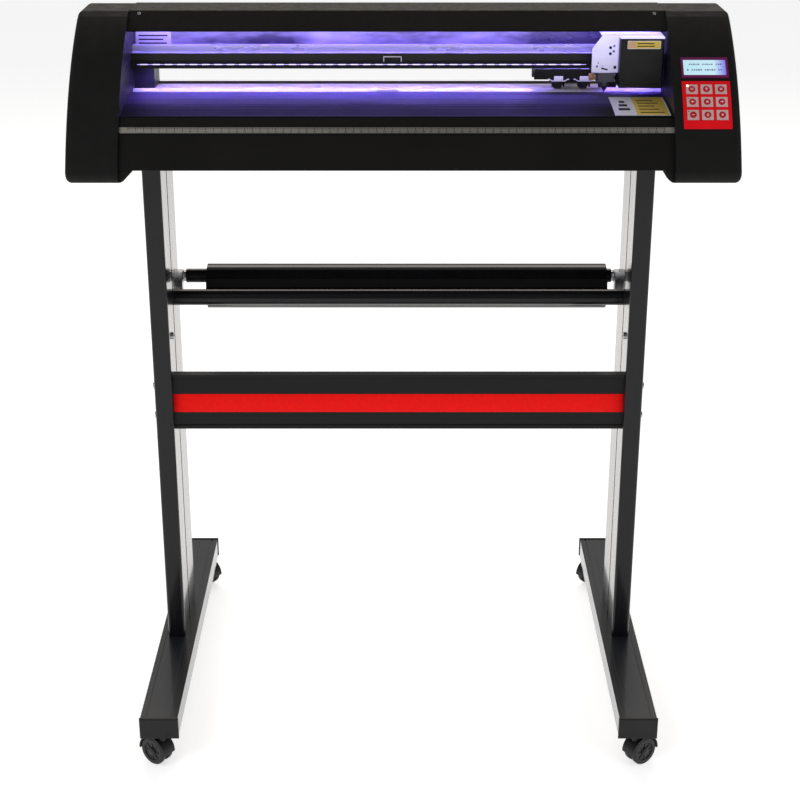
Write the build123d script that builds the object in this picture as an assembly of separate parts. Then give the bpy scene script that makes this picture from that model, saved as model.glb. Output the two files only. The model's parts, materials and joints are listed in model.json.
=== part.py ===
from build123d import *
import math
import os

# Roll-fed vinyl cutter on a castor stand.
# Millimetres, +Z up, the operator stands at -Y and +X is to the operator's right.
# The origin is on the floor, under the centre of the machine's overall box.

os.makedirs("parts", exist_ok=True)

# --- driving dimensions: head -----------------------------------------------------------
HEAD_HALF = 434.4          # half of the head's overall width
TOP_Z = 972.0              # top of the covers
REAR_Y = 123.0             # back of the covers
CAP_BOTTOM_Z = 778.0       # underside of the moulded end caps
CAP_WALL = 3.0
CAP_ROUND = 8.0            # rounding round the caps' outer ends
LEFT_X = -366.6            # inner face of the left end cap and side frame
RIGHT_X = 349.2            # inner face of the right end cap and side frame
ARC_Y, ARC_Z, ARC_R = 231.9, 631.4, 387.1   # centre and radius of the caps' curved front
ARC_TOP_Z = 966.5
RECESS = 6.0               # how far the middle section sits inside the caps' outline
GAP = 0.3                  # clearance between pieces that move past each other
SHEET = 2.5                # wall of the covers and extrusions
SEAT = 0.2                 # end gap of parts held between the side frames

BED_Z = 866.0              # media surface at the back of the bed
BED_REAR_Z = 857.0         # lower end of the bed's rounded-off rear edge
CHASSIS_Z = 795.5          # underside of the chassis plate
RAIL_Y0, RAIL_Y1 = 48.0, 93.0
RAIL_Z0, RAIL_Z1 = 896.0, 916.0
GUIDE_Y = 68.0             # centre line of the linear guide on the rail
GUIDE_Z1 = 924.0

SHAFT_Y, SHAFT_Z, SHAFT_R = 52.0, 862.0, 6.0
SHAFT_PLAY = 0.05
MODULE = 1.0
GEAR_TEETH, PINION_TEETH = 45, 15
GEAR_X0, GEAR_X1 = -380.0, -374.0
MOTOR_SIDE = 42.0
MOTOR_LENGTH = 36.0

BELT_Y, BELT_R = 54.5, 8.0
BELT_Z0, BELT_Z1 = 899.0, 905.0
BELT_THICK = 1.5
PULLEY_R = BELT_R - GAP
IDLER_X, DRIVE_X = -386.0, 377.0

WHEEL_R = 9.5              # pinch wheel radius
PINCH_WHEELS_X = (209.0, 243.5)
PINCH_WHEEL_WIDTH = 11.0
PINCH_X0, PINCH_X1 = 176.0, 280.0
PINCH_PIVOT_Y, PINCH_PIVOT_Z = 78.0, 884.0
AXLE_R = 2.0
AXLE_PLAY = 0.06

CARRIAGE_X0, COVER_X0, COVER_X1 = 250.0, 285.5, 343.0
CARRIAGE_TOP_Z = 946.0
CARRIAGE_BOTTOM_Z = 879.0
CARRIAGE_BACK_Y = 36.0
PLATE_FRONT_Y, PLATE_THICK = 12.0, 2.0
TOOL_X, TOOL_Y = 269.0, 24.0
KNOB_Z, KNOB_R = 890.0, 4.7

PANEL_X = 391.3            # centre of the control panel on the right cap
KEY_PITCH_X = 18.8
KEY_ANGLES = (41.6, 38.9, 36.2)
KEY_WIDTH, KEY_HEIGHT = 15.0, 13.7
KEYPAD_HALF = 31.2
KEYPAD_ANGLES = (33.4, 43.4)
LCD_HALF_X = 30.5
LCD_ANGLES = (44.2, 48.9)

# --- driving dimensions: stand ----------------------------------------------------------
STAND_X = -6.4             # the stand's centre plane
LEG_IN, LEG_OUT = 315.0, 340.0
LEG_Y0, LEG_Y1 = -50.0, 75.0
LEG_TOP_Z = 782.0
FOOT_HALF = 25.5
FOOT_MID = 325.5
FOOT_Z0, FOOT_Z1 = 46.0, 75.0
FOOT_Y = 268.5             # half length of the foot extrusion
FOOT_CAP = 4.0             # thickness of its end plugs
BEAM_Y0, BEAM_Y1 = -40.0, -26.0
BEAM_Z0, BEAM_Z1 = 405.0, 486.2
BAR_Y, BAR_Z, BAR_R = 26.0, 578.3, 11.3
ROD_Y, ROD_Z, ROD_R = 72.0, 595.4, 10.0
STUD_R = 4.0
ROLL_Z = 580.2
ROLL_R, CORE_OUT_R, CORE_IN_R = 31.8, 28.6, 25.6
ROLL_X0, ROLL_X1 = -278.9, 289.0

CASTOR_Y = 261.0           # the swivel stems' distance from the centre
CASTOR_TRAIL = 8.0
CASTOR_R = 20.0
CASTOR_HALF = 11.0         # half of a castor's width over its hood
WEB_HALF = 2.6             # half of the hood's web between the two wheels
CASTOR_TURN = 35.0         # how far each axle is turned away from the Y direction


# --- small helpers ----------------------------------------------------------------------
def block(x0, x1, y0, y1, z0, z1):
    centre = Pos((x0 + x1) / 2, (y0 + y1) / 2, (z0 + z1) / 2)
    return centre * Box(x1 - x0, y1 - y0, z1 - z0)


def rod_x(radius, x0, x1, y, z):
    return Pos((x0 + x1) / 2, y, z) * Rot(0, 90, 0) * Cylinder(radius, x1 - x0)


def rod_y(radius, x, y0, y1, z):
    return Pos(x, (y0 + y1) / 2, z) * Rot(90, 0, 0) * Cylinder(radius, y1 - y0)


def rod_z(radius, x, y, z0, z1):
    return Pos(x, y, (z0 + z1) / 2) * Cylinder(radius, z1 - z0)


def polygon(*points):
    return make_face(Polyline(*points, close=True))


def along_x(face, x0, x1):
    """Extrude an outline drawn in (Y, Z) from x0 to x1."""
    return extrude(Plane.YZ.offset(x0) * face, amount=x1 - x0)


def group(solids):
    return Compound(children=list(solids))


def save(shape, name):
    export_step(shape, f"parts/{name}.step")


def front_y(z, inset=0.0):
    """Y of the curved front at height z, moved inwards by inset."""
    return ARC_Y - math.sqrt((ARC_R - inset) ** 2 - (z - ARC_Z) ** 2)


def on_arc(angle, radius):
    """(Y, Z) on the front arc's circle, angle in degrees above the horizontal."""
    a = math.radians(angle)
    return (ARC_Y - radius * math.cos(a), ARC_Z + radius * math.sin(a))


def head_outline(inset, corner):
    """Side outline of an end cap, moved inwards by inset, its lower corners rounded."""
    low = CAP_BOTTOM_Z + inset
    high = ARC_TOP_Z - inset
    top = TOP_Z - inset
    start = (front_y(low, inset), low)
    middle = (front_y((low + high) / 2, inset), (low + high) / 2)
    end = (front_y(high, inset), high)
    crest = (front_y(high, inset) + 12.0, top)
    back = REAR_Y - inset
    front = ThreePointArc(start, middle, end)
    rest = Polyline(end, crest, (back, top), (back, low), start)
    face = make_face(Curve() + [front, rest])
    face = fillet([v for v in face.vertices() if abs(v.Y - low) < 0.01], corner)
    return fillet([v for v in face.vertices() if abs(v.Y - top) < 0.01], corner / 2)


def arc_sheet(angle0, angle1, radius0, radius1, x0, x1):
    """A curved plate that follows the caps' front between two angles and two radii."""
    mid = (angle0 + angle1) / 2
    outer = ThreePointArc(on_arc(angle0, radius1), on_arc(mid, radius1), on_arc(angle1, radius1))
    inner = ThreePointArc(on_arc(angle1, radius0), on_arc(mid, radius0), on_arc(angle0, radius0))
    side_a = Line(on_arc(angle1, radius1), on_arc(angle1, radius0))
    side_b = Line(on_arc(angle0, radius0), on_arc(angle0, radius1))
    return along_x(make_face(Curve() + [outer, side_a, inner, side_b]), x0, x1)


def degrees_of(length):
    """The angle that a length along the front arc covers."""
    return math.degrees(length / ARC_R)


def gear_outline(teeth, phase):
    """Straight-flanked spur gear outline; one tooth is centred at the phase angle."""
    pitch_r = teeth * MODULE / 2
    tip_r = pitch_r + 0.75 * MODULE
    root_r = pitch_r - 1.15 * MODULE
    step = 2 * math.pi / teeth
    points = []
    for i in range(teeth):
        middle = math.radians(phase) + i * step
        for radius, half in ((root_r, -0.30), (tip_r, -0.11), (tip_r, 0.11), (root_r, 0.30)):
            a = middle + half * step
            points.append((radius * math.cos(a), radius * math.sin(a)))
    return polygon(*points)


# --- stand ------------------------------------------------------------------------------
def foot(side):
    """Hollow foot extrusion with two shallow grooves along its top."""
    x = STAND_X + side * FOOT_MID
    body = block(x - FOOT_HALF, x + FOOT_HALF, -FOOT_Y, FOOT_Y, FOOT_Z0, FOOT_Z1)
    body -= block(x - FOOT_HALF + SHEET, x + FOOT_HALF - SHEET, -FOOT_Y - 1, FOOT_Y + 1,
                  FOOT_Z0 + SHEET, FOOT_Z1 - SHEET)
    for offset in (-17.0, 17.0):
        body -= block(x + offset - 1.2, x + offset + 1.2, -FOOT_Y - 1, FOOT_Y + 1,
                      FOOT_Z1 - 1.0, FOOT_Z1 + 1)
    for y in (-CASTOR_Y, CASTOR_Y):
        body -= rod_z(5.0, x, y, FOOT_Z0 - 1, FOOT_Z0 + SHEET + 1)
    return body


def foot_plug(x, end):
    """Moulded plug on the end of a foot: a cap with a tongue inside the extrusion."""
    y = end * FOOT_Y
    cap = block(x - FOOT_HALF - 1, x + FOOT_HALF + 1, min(y, y + end * FOOT_CAP),
                max(y, y + end * FOOT_CAP), FOOT_Z0 - 1, FOOT_Z1 + 1)
    cap = fillet(cap.faces().sort_by(Axis.Y)[-1 if end > 0 else 0].edges(), 1.5)
    inside = y - end * 2.0
    room = SHEET + 0.1
    return cap + block(x - FOOT_HALF + room, x + FOOT_HALF - room, min(y, inside),
                       max(y, inside), FOOT_Z0 + room, FOOT_Z1 - room)


def leg_plug(side):
    """Moulded plug on the top of a leg, under the head."""
    inner, outer = sorted((STAND_X + side * LEG_IN, STAND_X + side * LEG_OUT))
    cap = block(inner - 1.5, outer + 1.5, LEG_Y0 - 1.5, LEG_Y1 + 1.5, LEG_TOP_Z, CHASSIS_Z)
    cap = fillet(cap.edges().filter_by(Axis.Z), 5.0)
    tongue = block(inner + 6, outer - 6, LEG_Y0 + 6, LEG_Y1 - 6, LEG_TOP_Z - 18, LEG_TOP_Z)
    return cap + tongue


def end_plugs():
    solids = [leg_plug(side) for side in (-1, 1)]
    for side in (-1, 1):
        x = STAND_X + side * FOOT_MID
        solids += [foot_plug(x, end) for end in (-1, 1)]
    return group(solids)


def leg(side):
    """Hollow leg extrusion with a T-slot groove down the face towards the other leg."""
    inner = STAND_X + side * LEG_IN
    outer = STAND_X + side * LEG_OUT
    x0, x1 = min(inner, outer), max(inner, outer)
    body = block(x0, x1, LEG_Y0, LEG_Y1, FOOT_Z1, LEG_TOP_Z)
    body = fillet(body.edges().filter_by(Axis.Z), 4.0)
    body -= block(x0 + 2, x1 - 2, LEG_Y0 + 4, LEG_Y1 - 4, FOOT_Z1 - 1, LEG_TOP_Z + 1)
    depth0, depth1 = sorted((inner, inner + side * 4.5))
    groove0, groove1 = sorted((inner - side, inner + side * 2.5))
    body += block(depth0, depth1, 1.0, 11.0, FOOT_Z1, LEG_TOP_Z - 20)
    return body - block(groove0, groove1, 3.2, 8.8, FOOT_Z1 - 1, LEG_TOP_Z + 1)


def bolt_head(x, side, y, z):
    """Low round bolt head with a hexagon socket, lying against a face at x."""
    x0, x1 = sorted((x, x + side * 3.0))
    head = rod_x(5.0, x0, x1, y, z)
    socket0, socket1 = sorted((x + side * 1.4, x + side * 4.0))
    hexagon = Pos(y, z) * RegularPolygon(2.6, 6)
    return head - along_x(hexagon, socket0, socket1)


def stand_bolts():
    """Bolts through the legs into the crossbeam, front bar and splice plates."""
    places = [(-33.0, 424.0), (-33.0, 468.0), (BAR_Y, BAR_Z), (6.0, 530.0), (6.0, 546.0),
              (6.0, 562.0)]
    solids = []
    for side in (-1, 1):
        x = STAND_X + side * LEG_OUT
        solids += [bolt_head(x, side, y, z) for y, z in places]
        inner = STAND_X + side * LEG_IN
        solids.append(bolt_head(inner, -side, -22.0, 538.0))
    return group(solids)


def crossbeam():
    """Hollow crossbeam; its front has lips top and bottom and a shallow field between."""
    x0 = STAND_X - LEG_IN
    x1 = STAND_X + LEG_IN
    outline = polygon((BEAM_Y0, BEAM_Z0), (BEAM_Y1, BEAM_Z0), (BEAM_Y1, BEAM_Z1),
                      (BEAM_Y0, BEAM_Z1), (BEAM_Y0, BEAM_Z1 - 5), (BEAM_Y0 + 1.5, BEAM_Z1 - 6),
                      (BEAM_Y0 + 1.5, BEAM_Z0 + 6), (BEAM_Y0, BEAM_Z0 + 5))
    body = along_x(outline, x0, x1)
    return body - block(x0 - 1, x1 + 1, BEAM_Y0 + 4, BEAM_Y1 - SHEET, BEAM_Z0 + SHEET,
                        BEAM_Z1 - SHEET)


def front_bar():
    x0, x1 = STAND_X - LEG_IN, STAND_X + LEG_IN
    return rod_x(BAR_R, x0, x1, BAR_Y, BAR_Z) - rod_x(BAR_R - 1.5, x0 - 1, x1 + 1, BAR_Y, BAR_Z)


def rod_brackets():
    """Bearing blocks for the roll rod, screwed to the legs' inner faces."""
    solids = []
    for side in (-1, 1):
        face = STAND_X + side * LEG_IN
        x0, x1 = sorted((face, face - side * 7.0))
        body = block(x0, x1, ROD_Y - 13, ROD_Y + 3, ROD_Z - 22, ROD_Z + 9)
        body += rod_x(9.0, x0, x1, ROD_Y, ROD_Z)
        body -= rod_x(STUD_R + AXLE_PLAY, x0 - 1, x1 + 1, ROD_Y, ROD_Z)
        solids.append(body)
    return group(solids)


def roll_rod():
    """Turning rod that carries the media roll: a sleeve on two stepped studs."""
    x0 = STAND_X - LEG_IN + 0.5
    x1 = STAND_X + LEG_IN - 0.5
    sleeve = rod_x(ROD_R, x0 + 11.5, x1 - 11.5, ROD_Y, ROD_Z)
    collars = rod_x(6.5, x0 + 8.0, x1 - 8.0, ROD_Y, ROD_Z)
    return sleeve + collars + rod_x(STUD_R, x0, x1, ROD_Y, ROD_Z)


def tube_x(outer, inner, x0, x1, y, z):
    return rod_x(outer, x0, x1, y, z) - rod_x(inner, x0 - 1, x1 + 1, y, z)


# --- castors ----------------------------------------------------------------------------
def castor_place(side, end):
    """Location of a castor drawn with its trail along +X and its axle along Y."""
    turn = math.radians(CASTOR_TURN)
    trail_x, trail_y = -end * side * math.cos(turn), -end * math.sin(turn)
    heading = math.degrees(math.atan2(trail_y, trail_x))
    return Pos(STAND_X + side * FOOT_MID, end * CASTOR_Y, 0) * Rot(0, 0, heading)


def castor_hood(side, end):
    """Twin-wheel castor's hood: a web between the wheels, a half-ring over them, a stem."""
    t, r = CASTOR_TRAIL, CASTOR_R
    half = CASTOR_HALF
    ring = rod_y(22.8, t, -half, half, r) - rod_y(20.7, t, -half - 1, half + 1, r)
    ring -= block(t - 30, t + 30, -half - 1, half + 1, -10, r - 1)
    web = rod_y(22.8, t, -WEB_HALF, WEB_HALF, r) - block(t - 30, t + 30, -6, 6, -10, r)
    web += rod_y(13.0, t, -WEB_HALF, WEB_HALF, r)
    body = ring + web + rod_z(7.0, 0, 0, 36.0, 45.5) - rod_y(20.7, t, WEB_HALF, half + 1, r)
    body -= rod_y(20.7, t, -half - 1, -WEB_HALF, r)
    body -= rod_y(2.5 + AXLE_PLAY, t, -half - 1, half + 1, r)
    stem = rod_z(4.9, 0, 0, 44.0, 64.0)
    return castor_place(side, end) * (body + stem)


def castor_wheels(side, end):
    """Two wheels on one axle."""
    t, r = CASTOR_TRAIL, CASTOR_R
    face = CASTOR_HALF - 0.5
    body = rod_y(2.5, t, -face + 2, face - 2, r)
    for sign in (-1, 1):
        y0, y1 = sorted((sign * (WEB_HALF + 0.6), sign * face))
        wheel = rod_y(r, t, y0, y1, r)
        wheel = fillet(wheel.edges().filter_by(GeomType.CIRCLE), 2.0)
        dish0, dish1 = sorted((sign * (face - 1.2), sign * (face + 1)))
        body += wheel - rod_y(13.5, t, dish0, dish1, r)
        hub0, hub1 = sorted((sign * (face - 2), sign * face))
        body += rod_y(6.0, t, hub0, hub1, r)
    return castor_place(side, end) * body


# --- head: structure --------------------------------------------------------------------
def base_chassis():
    """Folded steel tray under the bed, with a rear wall."""
    x0, x1 = LEFT_X + SEAT, RIGHT_X - SEAT
    plate = block(x0, x1, -96.0, 118.0, CHASSIS_Z, CHASSIS_Z + 3)
    plate += block(x0, x1, 115.5, 118.0, CHASSIS_Z, BED_REAR_Z)
    for x in (-210.0, 40.0, 200.0):
        plate += block(x, x + 3, -60.0, 115.5, CHASSIS_Z + 3, 846.0)
    return plate


def bed():
    """Extruded bed with the grit shaft's trough and fine grooves along its surface."""
    outline = polygon((-73.6, 853.0), (-73.6, 857.0), (-24.0, 862.0), (42.5, 865.0),
                      (42.5, 852.0), (61.5, 852.0), (61.5, 865.3), (100.0, BED_Z),
                      (107.0, 864.5), (115.2, BED_REAR_Z), (115.2, BED_REAR_Z - 4.5),
                      (105.5, 860.8), (99.0, BED_Z - 4), (65.0, 861.3), (65.0, 848.5), (39.0, 848.5),
                      (39.0, 861.0), (-24.0, 858.0))
    body = along_x(outline, LEFT_X + SEAT, RIGHT_X - SEAT)
    for y, z in ((-60.0, 858.4), (-33.0, 861.1), (-24.0, 862.0), (2.0, 863.2), (28.0, 864.4)):
        body -= block(LEFT_X - 1, RIGHT_X + 1, y - 0.5, y + 0.5, z - 1.0, z + 1.0)
    return body


def front_apron():
    """Curved front skirt, recessed between the end caps, with a lip folded under it."""
    low = math.degrees(math.asin((CHASSIS_Z - ARC_Z) / (ARC_R - RECESS)))
    high = math.degrees(math.asin((856.0 - ARC_Z) / (ARC_R - RECESS)))
    x0, x1 = LEFT_X + SEAT, RIGHT_X - SEAT
    skirt = arc_sheet(low, high, ARC_R - RECESS - SHEET, ARC_R - RECESS, x0, x1)
    lip_y = front_y(CHASSIS_Z + SHEET, RECESS)
    return skirt + block(x0, x1, lip_y + 0.6, -96.2, CHASSIS_Z + 0.6, CHASSIS_Z + 0.6 + SHEET)


def ruler_strip():
    """Thin metal rule on the apron's upper edge."""
    low = math.degrees(math.asin((837.0 - ARC_Z) / (ARC_R - RECESS)))
    high = math.degrees(math.asin((845.6 - ARC_Z) / (ARC_R - RECESS)))
    return arc_sheet(low, high, ARC_R - RECESS, ARC_R - RECESS + 0.6, LEFT_X + SEAT,
                     RIGHT_X - SEAT)


def top_cover():
    """Folded cover over the rail: a sloping nose, a flat top and a short rear fall."""
    outer = polygon((24.5, 950.5), (55.0, TOP_Z), (REAR_Y, TOP_Z), (REAR_Y, 950.0),
                    (REAR_Y - SHEET, 950.0), (REAR_Y - SHEET, TOP_Z - SHEET),
                    (55.8, TOP_Z - SHEET), (26.0, 948.5))
    body = along_x(outer, LEFT_X + SEAT, RIGHT_X - SEAT)
    nose = [e for e in body.edges().filter_by(Axis.X)
            if abs(e.center().Y - 55.0) < 0.1 and abs(e.center().Z - TOP_Z) < 0.1]
    return fillet(nose, 5.0)


def rear_cover():
    """Rear panel between the top cover and the media exit, with its lower lip."""
    x0, x1 = LEFT_X + SEAT, RIGHT_X - SEAT
    panel = block(x0, x1, REAR_Y - SHEET, REAR_Y, RAIL_Z0, 949.8)
    return panel + block(x0, x1, RAIL_Y1 + GAP, REAR_Y, RAIL_Z0, RAIL_Z0 + SHEET)


def side_frame(face_x, side):
    """Side frame inside an end cap: a plate, and a foot block that carries the rail."""
    x0, x1 = sorted((face_x, face_x + side * 3.0))
    plate = along_x(head_outline(CAP_WALL + GAP, 10.0), x0, x1)
    x0, x1 = x0 - 1, x1 + 1
    plate -= rod_x(SHAFT_R + SHAFT_PLAY, x0, x1, SHAFT_Y, SHAFT_Z)
    plate -= block(x0, x1, 43.0, 66.0, BELT_Z0 - 2, BELT_Z1 + 2)
    foot0, foot1 = sorted((face_x, face_x - side * 28.0))
    for y, z in ((0.0, 930.0), (8.0, 905.0), (-30.0, 880.0)):
        plate -= rod_x(1.7, x0, x1, y, z)
    return plate + block(foot0, foot1, 64.0, 112.0, BED_Z, RAIL_Z0)


def side_frames():
    return group([side_frame(LEFT_X, -1), side_frame(RIGHT_X, 1)])


def rail():
    """Aluminium rail: a hollow box with a T-slot underneath, a guide ridge and a web."""
    x0, x1 = LEFT_X + SEAT, RIGHT_X - SEAT
    outline = polygon((RAIL_Y0, RAIL_Z0), (RAIL_Y1, RAIL_Z0), (RAIL_Y1, TOP_Z - SHEET),
                      (RAIL_Y1 - 3, TOP_Z - SHEET), (RAIL_Y1 - 3, RAIL_Z1),
                      (GUIDE_Y + 6, RAIL_Z1), (GUIDE_Y + 6, GUIDE_Z1), (GUIDE_Y - 6, GUIDE_Z1),
                      (GUIDE_Y - 6, RAIL_Z1), (RAIL_Y0, RAIL_Z1))
    body = along_x(outline, x0, x1)
    body -= block(x0 - 1, x1 + 1, RAIL_Y0 + SHEET, RAIL_Y1 - 5, RAIL_Z0 + SHEET,
                  RAIL_Z1 - SHEET)
    for y in (GUIDE_Y - 6, GUIDE_Y + 6):
        body -= rod_x(1.2, x0 - 1, x1 + 1, y, GUIDE_Z1 - 4)
    return body - block(x0 - 1, x1 + 1, 72.0, 78.0, RAIL_Z0 - 1, RAIL_Z0 + SHEET + 1)


def led_strip():
    return block(LEFT_X + 10, RIGHT_X - 10, 60.0, 68.0, TOP_Z - SHEET - 1.6, TOP_Z - SHEET)


# --- head: end caps and control panel ----------------------------------------------------
def cap_shell(face_x, side):
    """Moulded end cap, open towards the machine."""
    outer_x = side * HEAD_HALF
    x0, x1 = sorted((face_x, outer_x))
    shell = along_x(head_outline(0.0, 13.0), x0, x1)
    end_face = shell.faces().sort_by(Axis.X)[-1 if side > 0 else 0]
    shell = fillet(end_face.edges(), CAP_ROUND)
    inner0, inner1 = sorted((face_x - side, outer_x - side * CAP_WALL))
    hollow = along_x(head_outline(CAP_WALL, 10.0), inner0, inner1)
    end_face = hollow.faces().sort_by(Axis.X)[-1 if side > 0 else 0]
    return shell - fillet(end_face.edges(), CAP_ROUND - CAP_WALL)


def key_window(column, row, grow):
    """The space of one key, grown by a clearance, through the front of the cap."""
    half_x = KEY_WIDTH / 2 + grow
    half_a = degrees_of(KEY_HEIGHT / 2 + grow)
    x = PANEL_X + (column - 1) * KEY_PITCH_X
    angle = KEY_ANGLES[row]
    return arc_sheet(angle - half_a, angle + half_a, ARC_R - 6, ARC_R + 3, x - half_x, x + half_x)


def right_cap():
    """Right end cap, with openings for the display, the keys and the sockets' panel."""
    shell = cap_shell(RIGHT_X, 1)
    for row in range(3):
        for column in range(3):
            shell -= key_window(column, row, 0.6)
    shell -= arc_sheet(LCD_ANGLES[0] + 0.3, LCD_ANGLES[1] - 0.3, ARC_R - 6, ARC_R + 3,
                       PANEL_X - LCD_HALF_X + 2, PANEL_X + LCD_HALF_X - 2)
    return shell - block(HEAD_HALF - CAP_WALL - 1, HEAD_HALF + 1, 40.0, 112.0, 810.0, 846.0)


def lcd_module():
    """Display: a bezel on the cap's face, its frame through the wall and a glass recess."""
    half = LCD_HALF_X
    bezel = arc_sheet(*LCD_ANGLES, ARC_R, ARC_R + 0.8, PANEL_X - half, PANEL_X + half)
    inset = 2.2
    low, high = LCD_ANGLES[0] + 0.33, LCD_ANGLES[1] - 0.33
    bezel += arc_sheet(low, high, ARC_R - 7.0, ARC_R + 0.4, PANEL_X - half + inset,
                       PANEL_X + half - inset)
    return bezel - arc_sheet(LCD_ANGLES[0] + 0.6, LCD_ANGLES[1] - 0.6, ARC_R - 0.2,
                             ARC_R + 2, PANEL_X - half + 3.0, PANEL_X + half - 3.0)


def keypad_membrane():
    sheet = arc_sheet(*KEYPAD_ANGLES, ARC_R, ARC_R + 0.8, PANEL_X - KEYPAD_HALF,
                      PANEL_X + KEYPAD_HALF)
    for row in range(3):
        for column in range(3):
            sheet -= key_window(column, row, 0.35)
    return sheet


def key(column, row):
    """One key: a curved cap that passes through the membrane's window."""
    half_a = degrees_of(KEY_HEIGHT / 2)
    angle = KEY_ANGLES[row]
    x = PANEL_X + (column - 1) * KEY_PITCH_X
    return arc_sheet(angle - half_a, angle + half_a, ARC_R - 2.5, ARC_R + 1.4,
                     x - KEY_WIDTH / 2, x + KEY_WIDTH / 2)


def circuit_boards():
    """The main board on its edge in the right cap, and the board behind the keys."""
    main = block(410.0, 411.6, -50.0, 34.0, 795.0, 862.0)
    chips = ((-40, -20, 806, 826, 3), (-10, 20, 830, 852, 9), (0, 24, 800, 812, 7))
    for y0, y1, z0, z1, deep in chips:
        main += block(411.6, 411.6 + deep, y0, y1, z0, z1)
    keys = arc_sheet(KEYPAD_ANGLES[0] + 0.4, KEYPAD_ANGLES[1] - 0.4, ARC_R - 6.0, ARC_R - 4.4,
                     PANEL_X - 29, PANEL_X + 29)
    return group([main, keys])


def socket_panel():
    """Panel behind the right cap's side: mains inlet, USB socket and switch opening."""
    x1 = HEAD_HALF - CAP_WALL
    body = block(x1 - 2.5, x1, 37.0, 115.0, 807.0, 849.0)
    body += block(x1 - 18, x1 - 2, 74.0, 108.0, 814.0, 842.0)
    body += block(x1 - 14, x1 - 2, 58.0, 71.0, 820.0, 836.0)
    body -= block(x1 - 16, x1 + 1, 77.5, 104.5, 818.0, 838.0)
    body -= block(x1 - 12, x1 + 1, 60.5, 68.5, 822.0, 834.0)
    return body - block(x1 - 4, x1 + 1, 43.0, 55.0, 818.0, 838.0)


def power_rocker():
    """Rocker cap, shown tipped to its on side."""
    x = HEAD_HALF - CAP_WALL
    cap = along_x(Pos(49.0, 828.0) * Rectangle(9.4, 17.0), x - 4.0, x + 1.6)
    hollow = Pos(x + 9.5, 49.0, 828.0) * Rot(90, 0, 0) * Cylinder(9.0, 12.0)
    body = cap - hollow
    return body.rotate(Axis((x - 1.2, 49.0, 828.0), (0, 1, 0)), 6.0)


# --- head: drives -----------------------------------------------------------------------
def grit_shaft():
    """Knurled feed shaft with its spur gear at the left end."""
    shaft = rod_x(SHAFT_R, GEAR_X0 - 3, RIGHT_X + 4, SHAFT_Y, SHAFT_Z)
    gear = along_x(Pos(SHAFT_Y, SHAFT_Z) * gear_outline(GEAR_TEETH, -90.0), GEAR_X0, GEAR_X1)
    return shaft + gear


def pinion_z():
    return SHAFT_Z - (GEAR_TEETH + PINION_TEETH) * MODULE / 2 - 0.15


def motor_pinion():
    """Motor's pinion, a tooth gap of it on top, in mesh with the gear above."""
    phase = 90.0 + 180.0 / PINION_TEETH
    body = along_x(Pos(SHAFT_Y, pinion_z()) * gear_outline(PINION_TEETH, phase),
                   GEAR_X0 - 1, GEAR_X1 + 1)
    return body + rod_x(2.5, GEAR_X0 - 12, GEAR_X0, SHAFT_Y, pinion_z())


def stepper_motors():
    """Feed motor in the left cap, lying, and carriage motor in the right cap, upright."""
    half = MOTOR_SIDE / 2
    face = GEAR_X0 - 4
    z = pinion_z()
    feed = block(face - MOTOR_LENGTH, face, SHAFT_Y - half, SHAFT_Y + half, z - half, z + half)
    feed = chamfer(feed.edges().filter_by(Axis.X), 4.0)
    feed -= rod_x(2.5 + AXLE_PLAY, face - 10, face + 1, SHAFT_Y, z)
    top = BELT_Z0 - 6
    drive = block(DRIVE_X - half, DRIVE_X + half, BELT_Y - half, BELT_Y + half,
                  top - MOTOR_LENGTH, top)
    drive = chamfer(drive.edges().filter_by(Axis.Z), 4.0)
    drive -= rod_z(2.5 + AXLE_PLAY, DRIVE_X, BELT_Y, top - 8, top + 1)
    return group([feed, drive])


def belt_pulley(x, stem_bottom):
    """Flanged pulley on its spindle, under the belt's runs."""
    body = rod_z(PULLEY_R, x, BELT_Y, BELT_Z0 - 1.0, BELT_Z1 + 1.0)
    for z in (BELT_Z0 - 2.0, BELT_Z1 + GAP):
        body += rod_z(PULLEY_R + 2.2, x, BELT_Y, z, z + 1.7)
    return body + rod_z(2.5, x, BELT_Y, stem_bottom, BELT_Z1 + 3.0)


def belt_band(radius):
    """Stadium outline round both pulleys."""
    span = DRIVE_X - IDLER_X
    ends = [Pos(x, BELT_Y) * Circle(radius) for x in (IDLER_X, DRIVE_X)]
    middle = Pos((IDLER_X + DRIVE_X) / 2, BELT_Y) * Rectangle(span, 2 * radius)
    return middle + ends[0] + ends[1]


def drive_belt():
    band = belt_band(BELT_R + BELT_THICK) - belt_band(BELT_R)
    return extrude(Plane.XY.offset(BELT_Z0) * band, amount=BELT_Z1 - BELT_Z0)


# --- carriage ---------------------------------------------------------------------------
def carriage_plate():
    """Bright sheet-metal carriage: front flange, top flange and back plate."""
    y0, y1 = PLATE_FRONT_Y, PLATE_FRONT_Y + PLATE_THICK
    z = CARRIAGE_TOP_Z
    flange = make_face(Polyline((CARRIAGE_X0, 897.0), (COVER_X0 - GAP, 897.0),
                                (COVER_X0 - GAP, z), (263.0, z), (CARRIAGE_X0, 928.0),
                                close=True))
    front = extrude(Plane.XZ.offset(-y1) * flange, amount=PLATE_THICK)
    top = block(263.0, COVER_X1, y0, 80.0, z - PLATE_THICK, z)
    top += block(COVER_X0 - GAP, COVER_X1, -2.0, y0 + 1, z - PLATE_THICK, z)
    back = block(COVER_X0 + 0.7, COVER_X1 - 2, CARRIAGE_BACK_Y, CARRIAGE_BACK_Y + 2.5,
                 897.5, z)
    body = front + top + back
    for hole_x, hole_z in ((279.0, 932.0), (278.5, 925.0), (257.0, 905.0)):
        body -= rod_y(1.6, hole_x, y0 - 1, y1 + 1, hole_z)
    return body


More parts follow.
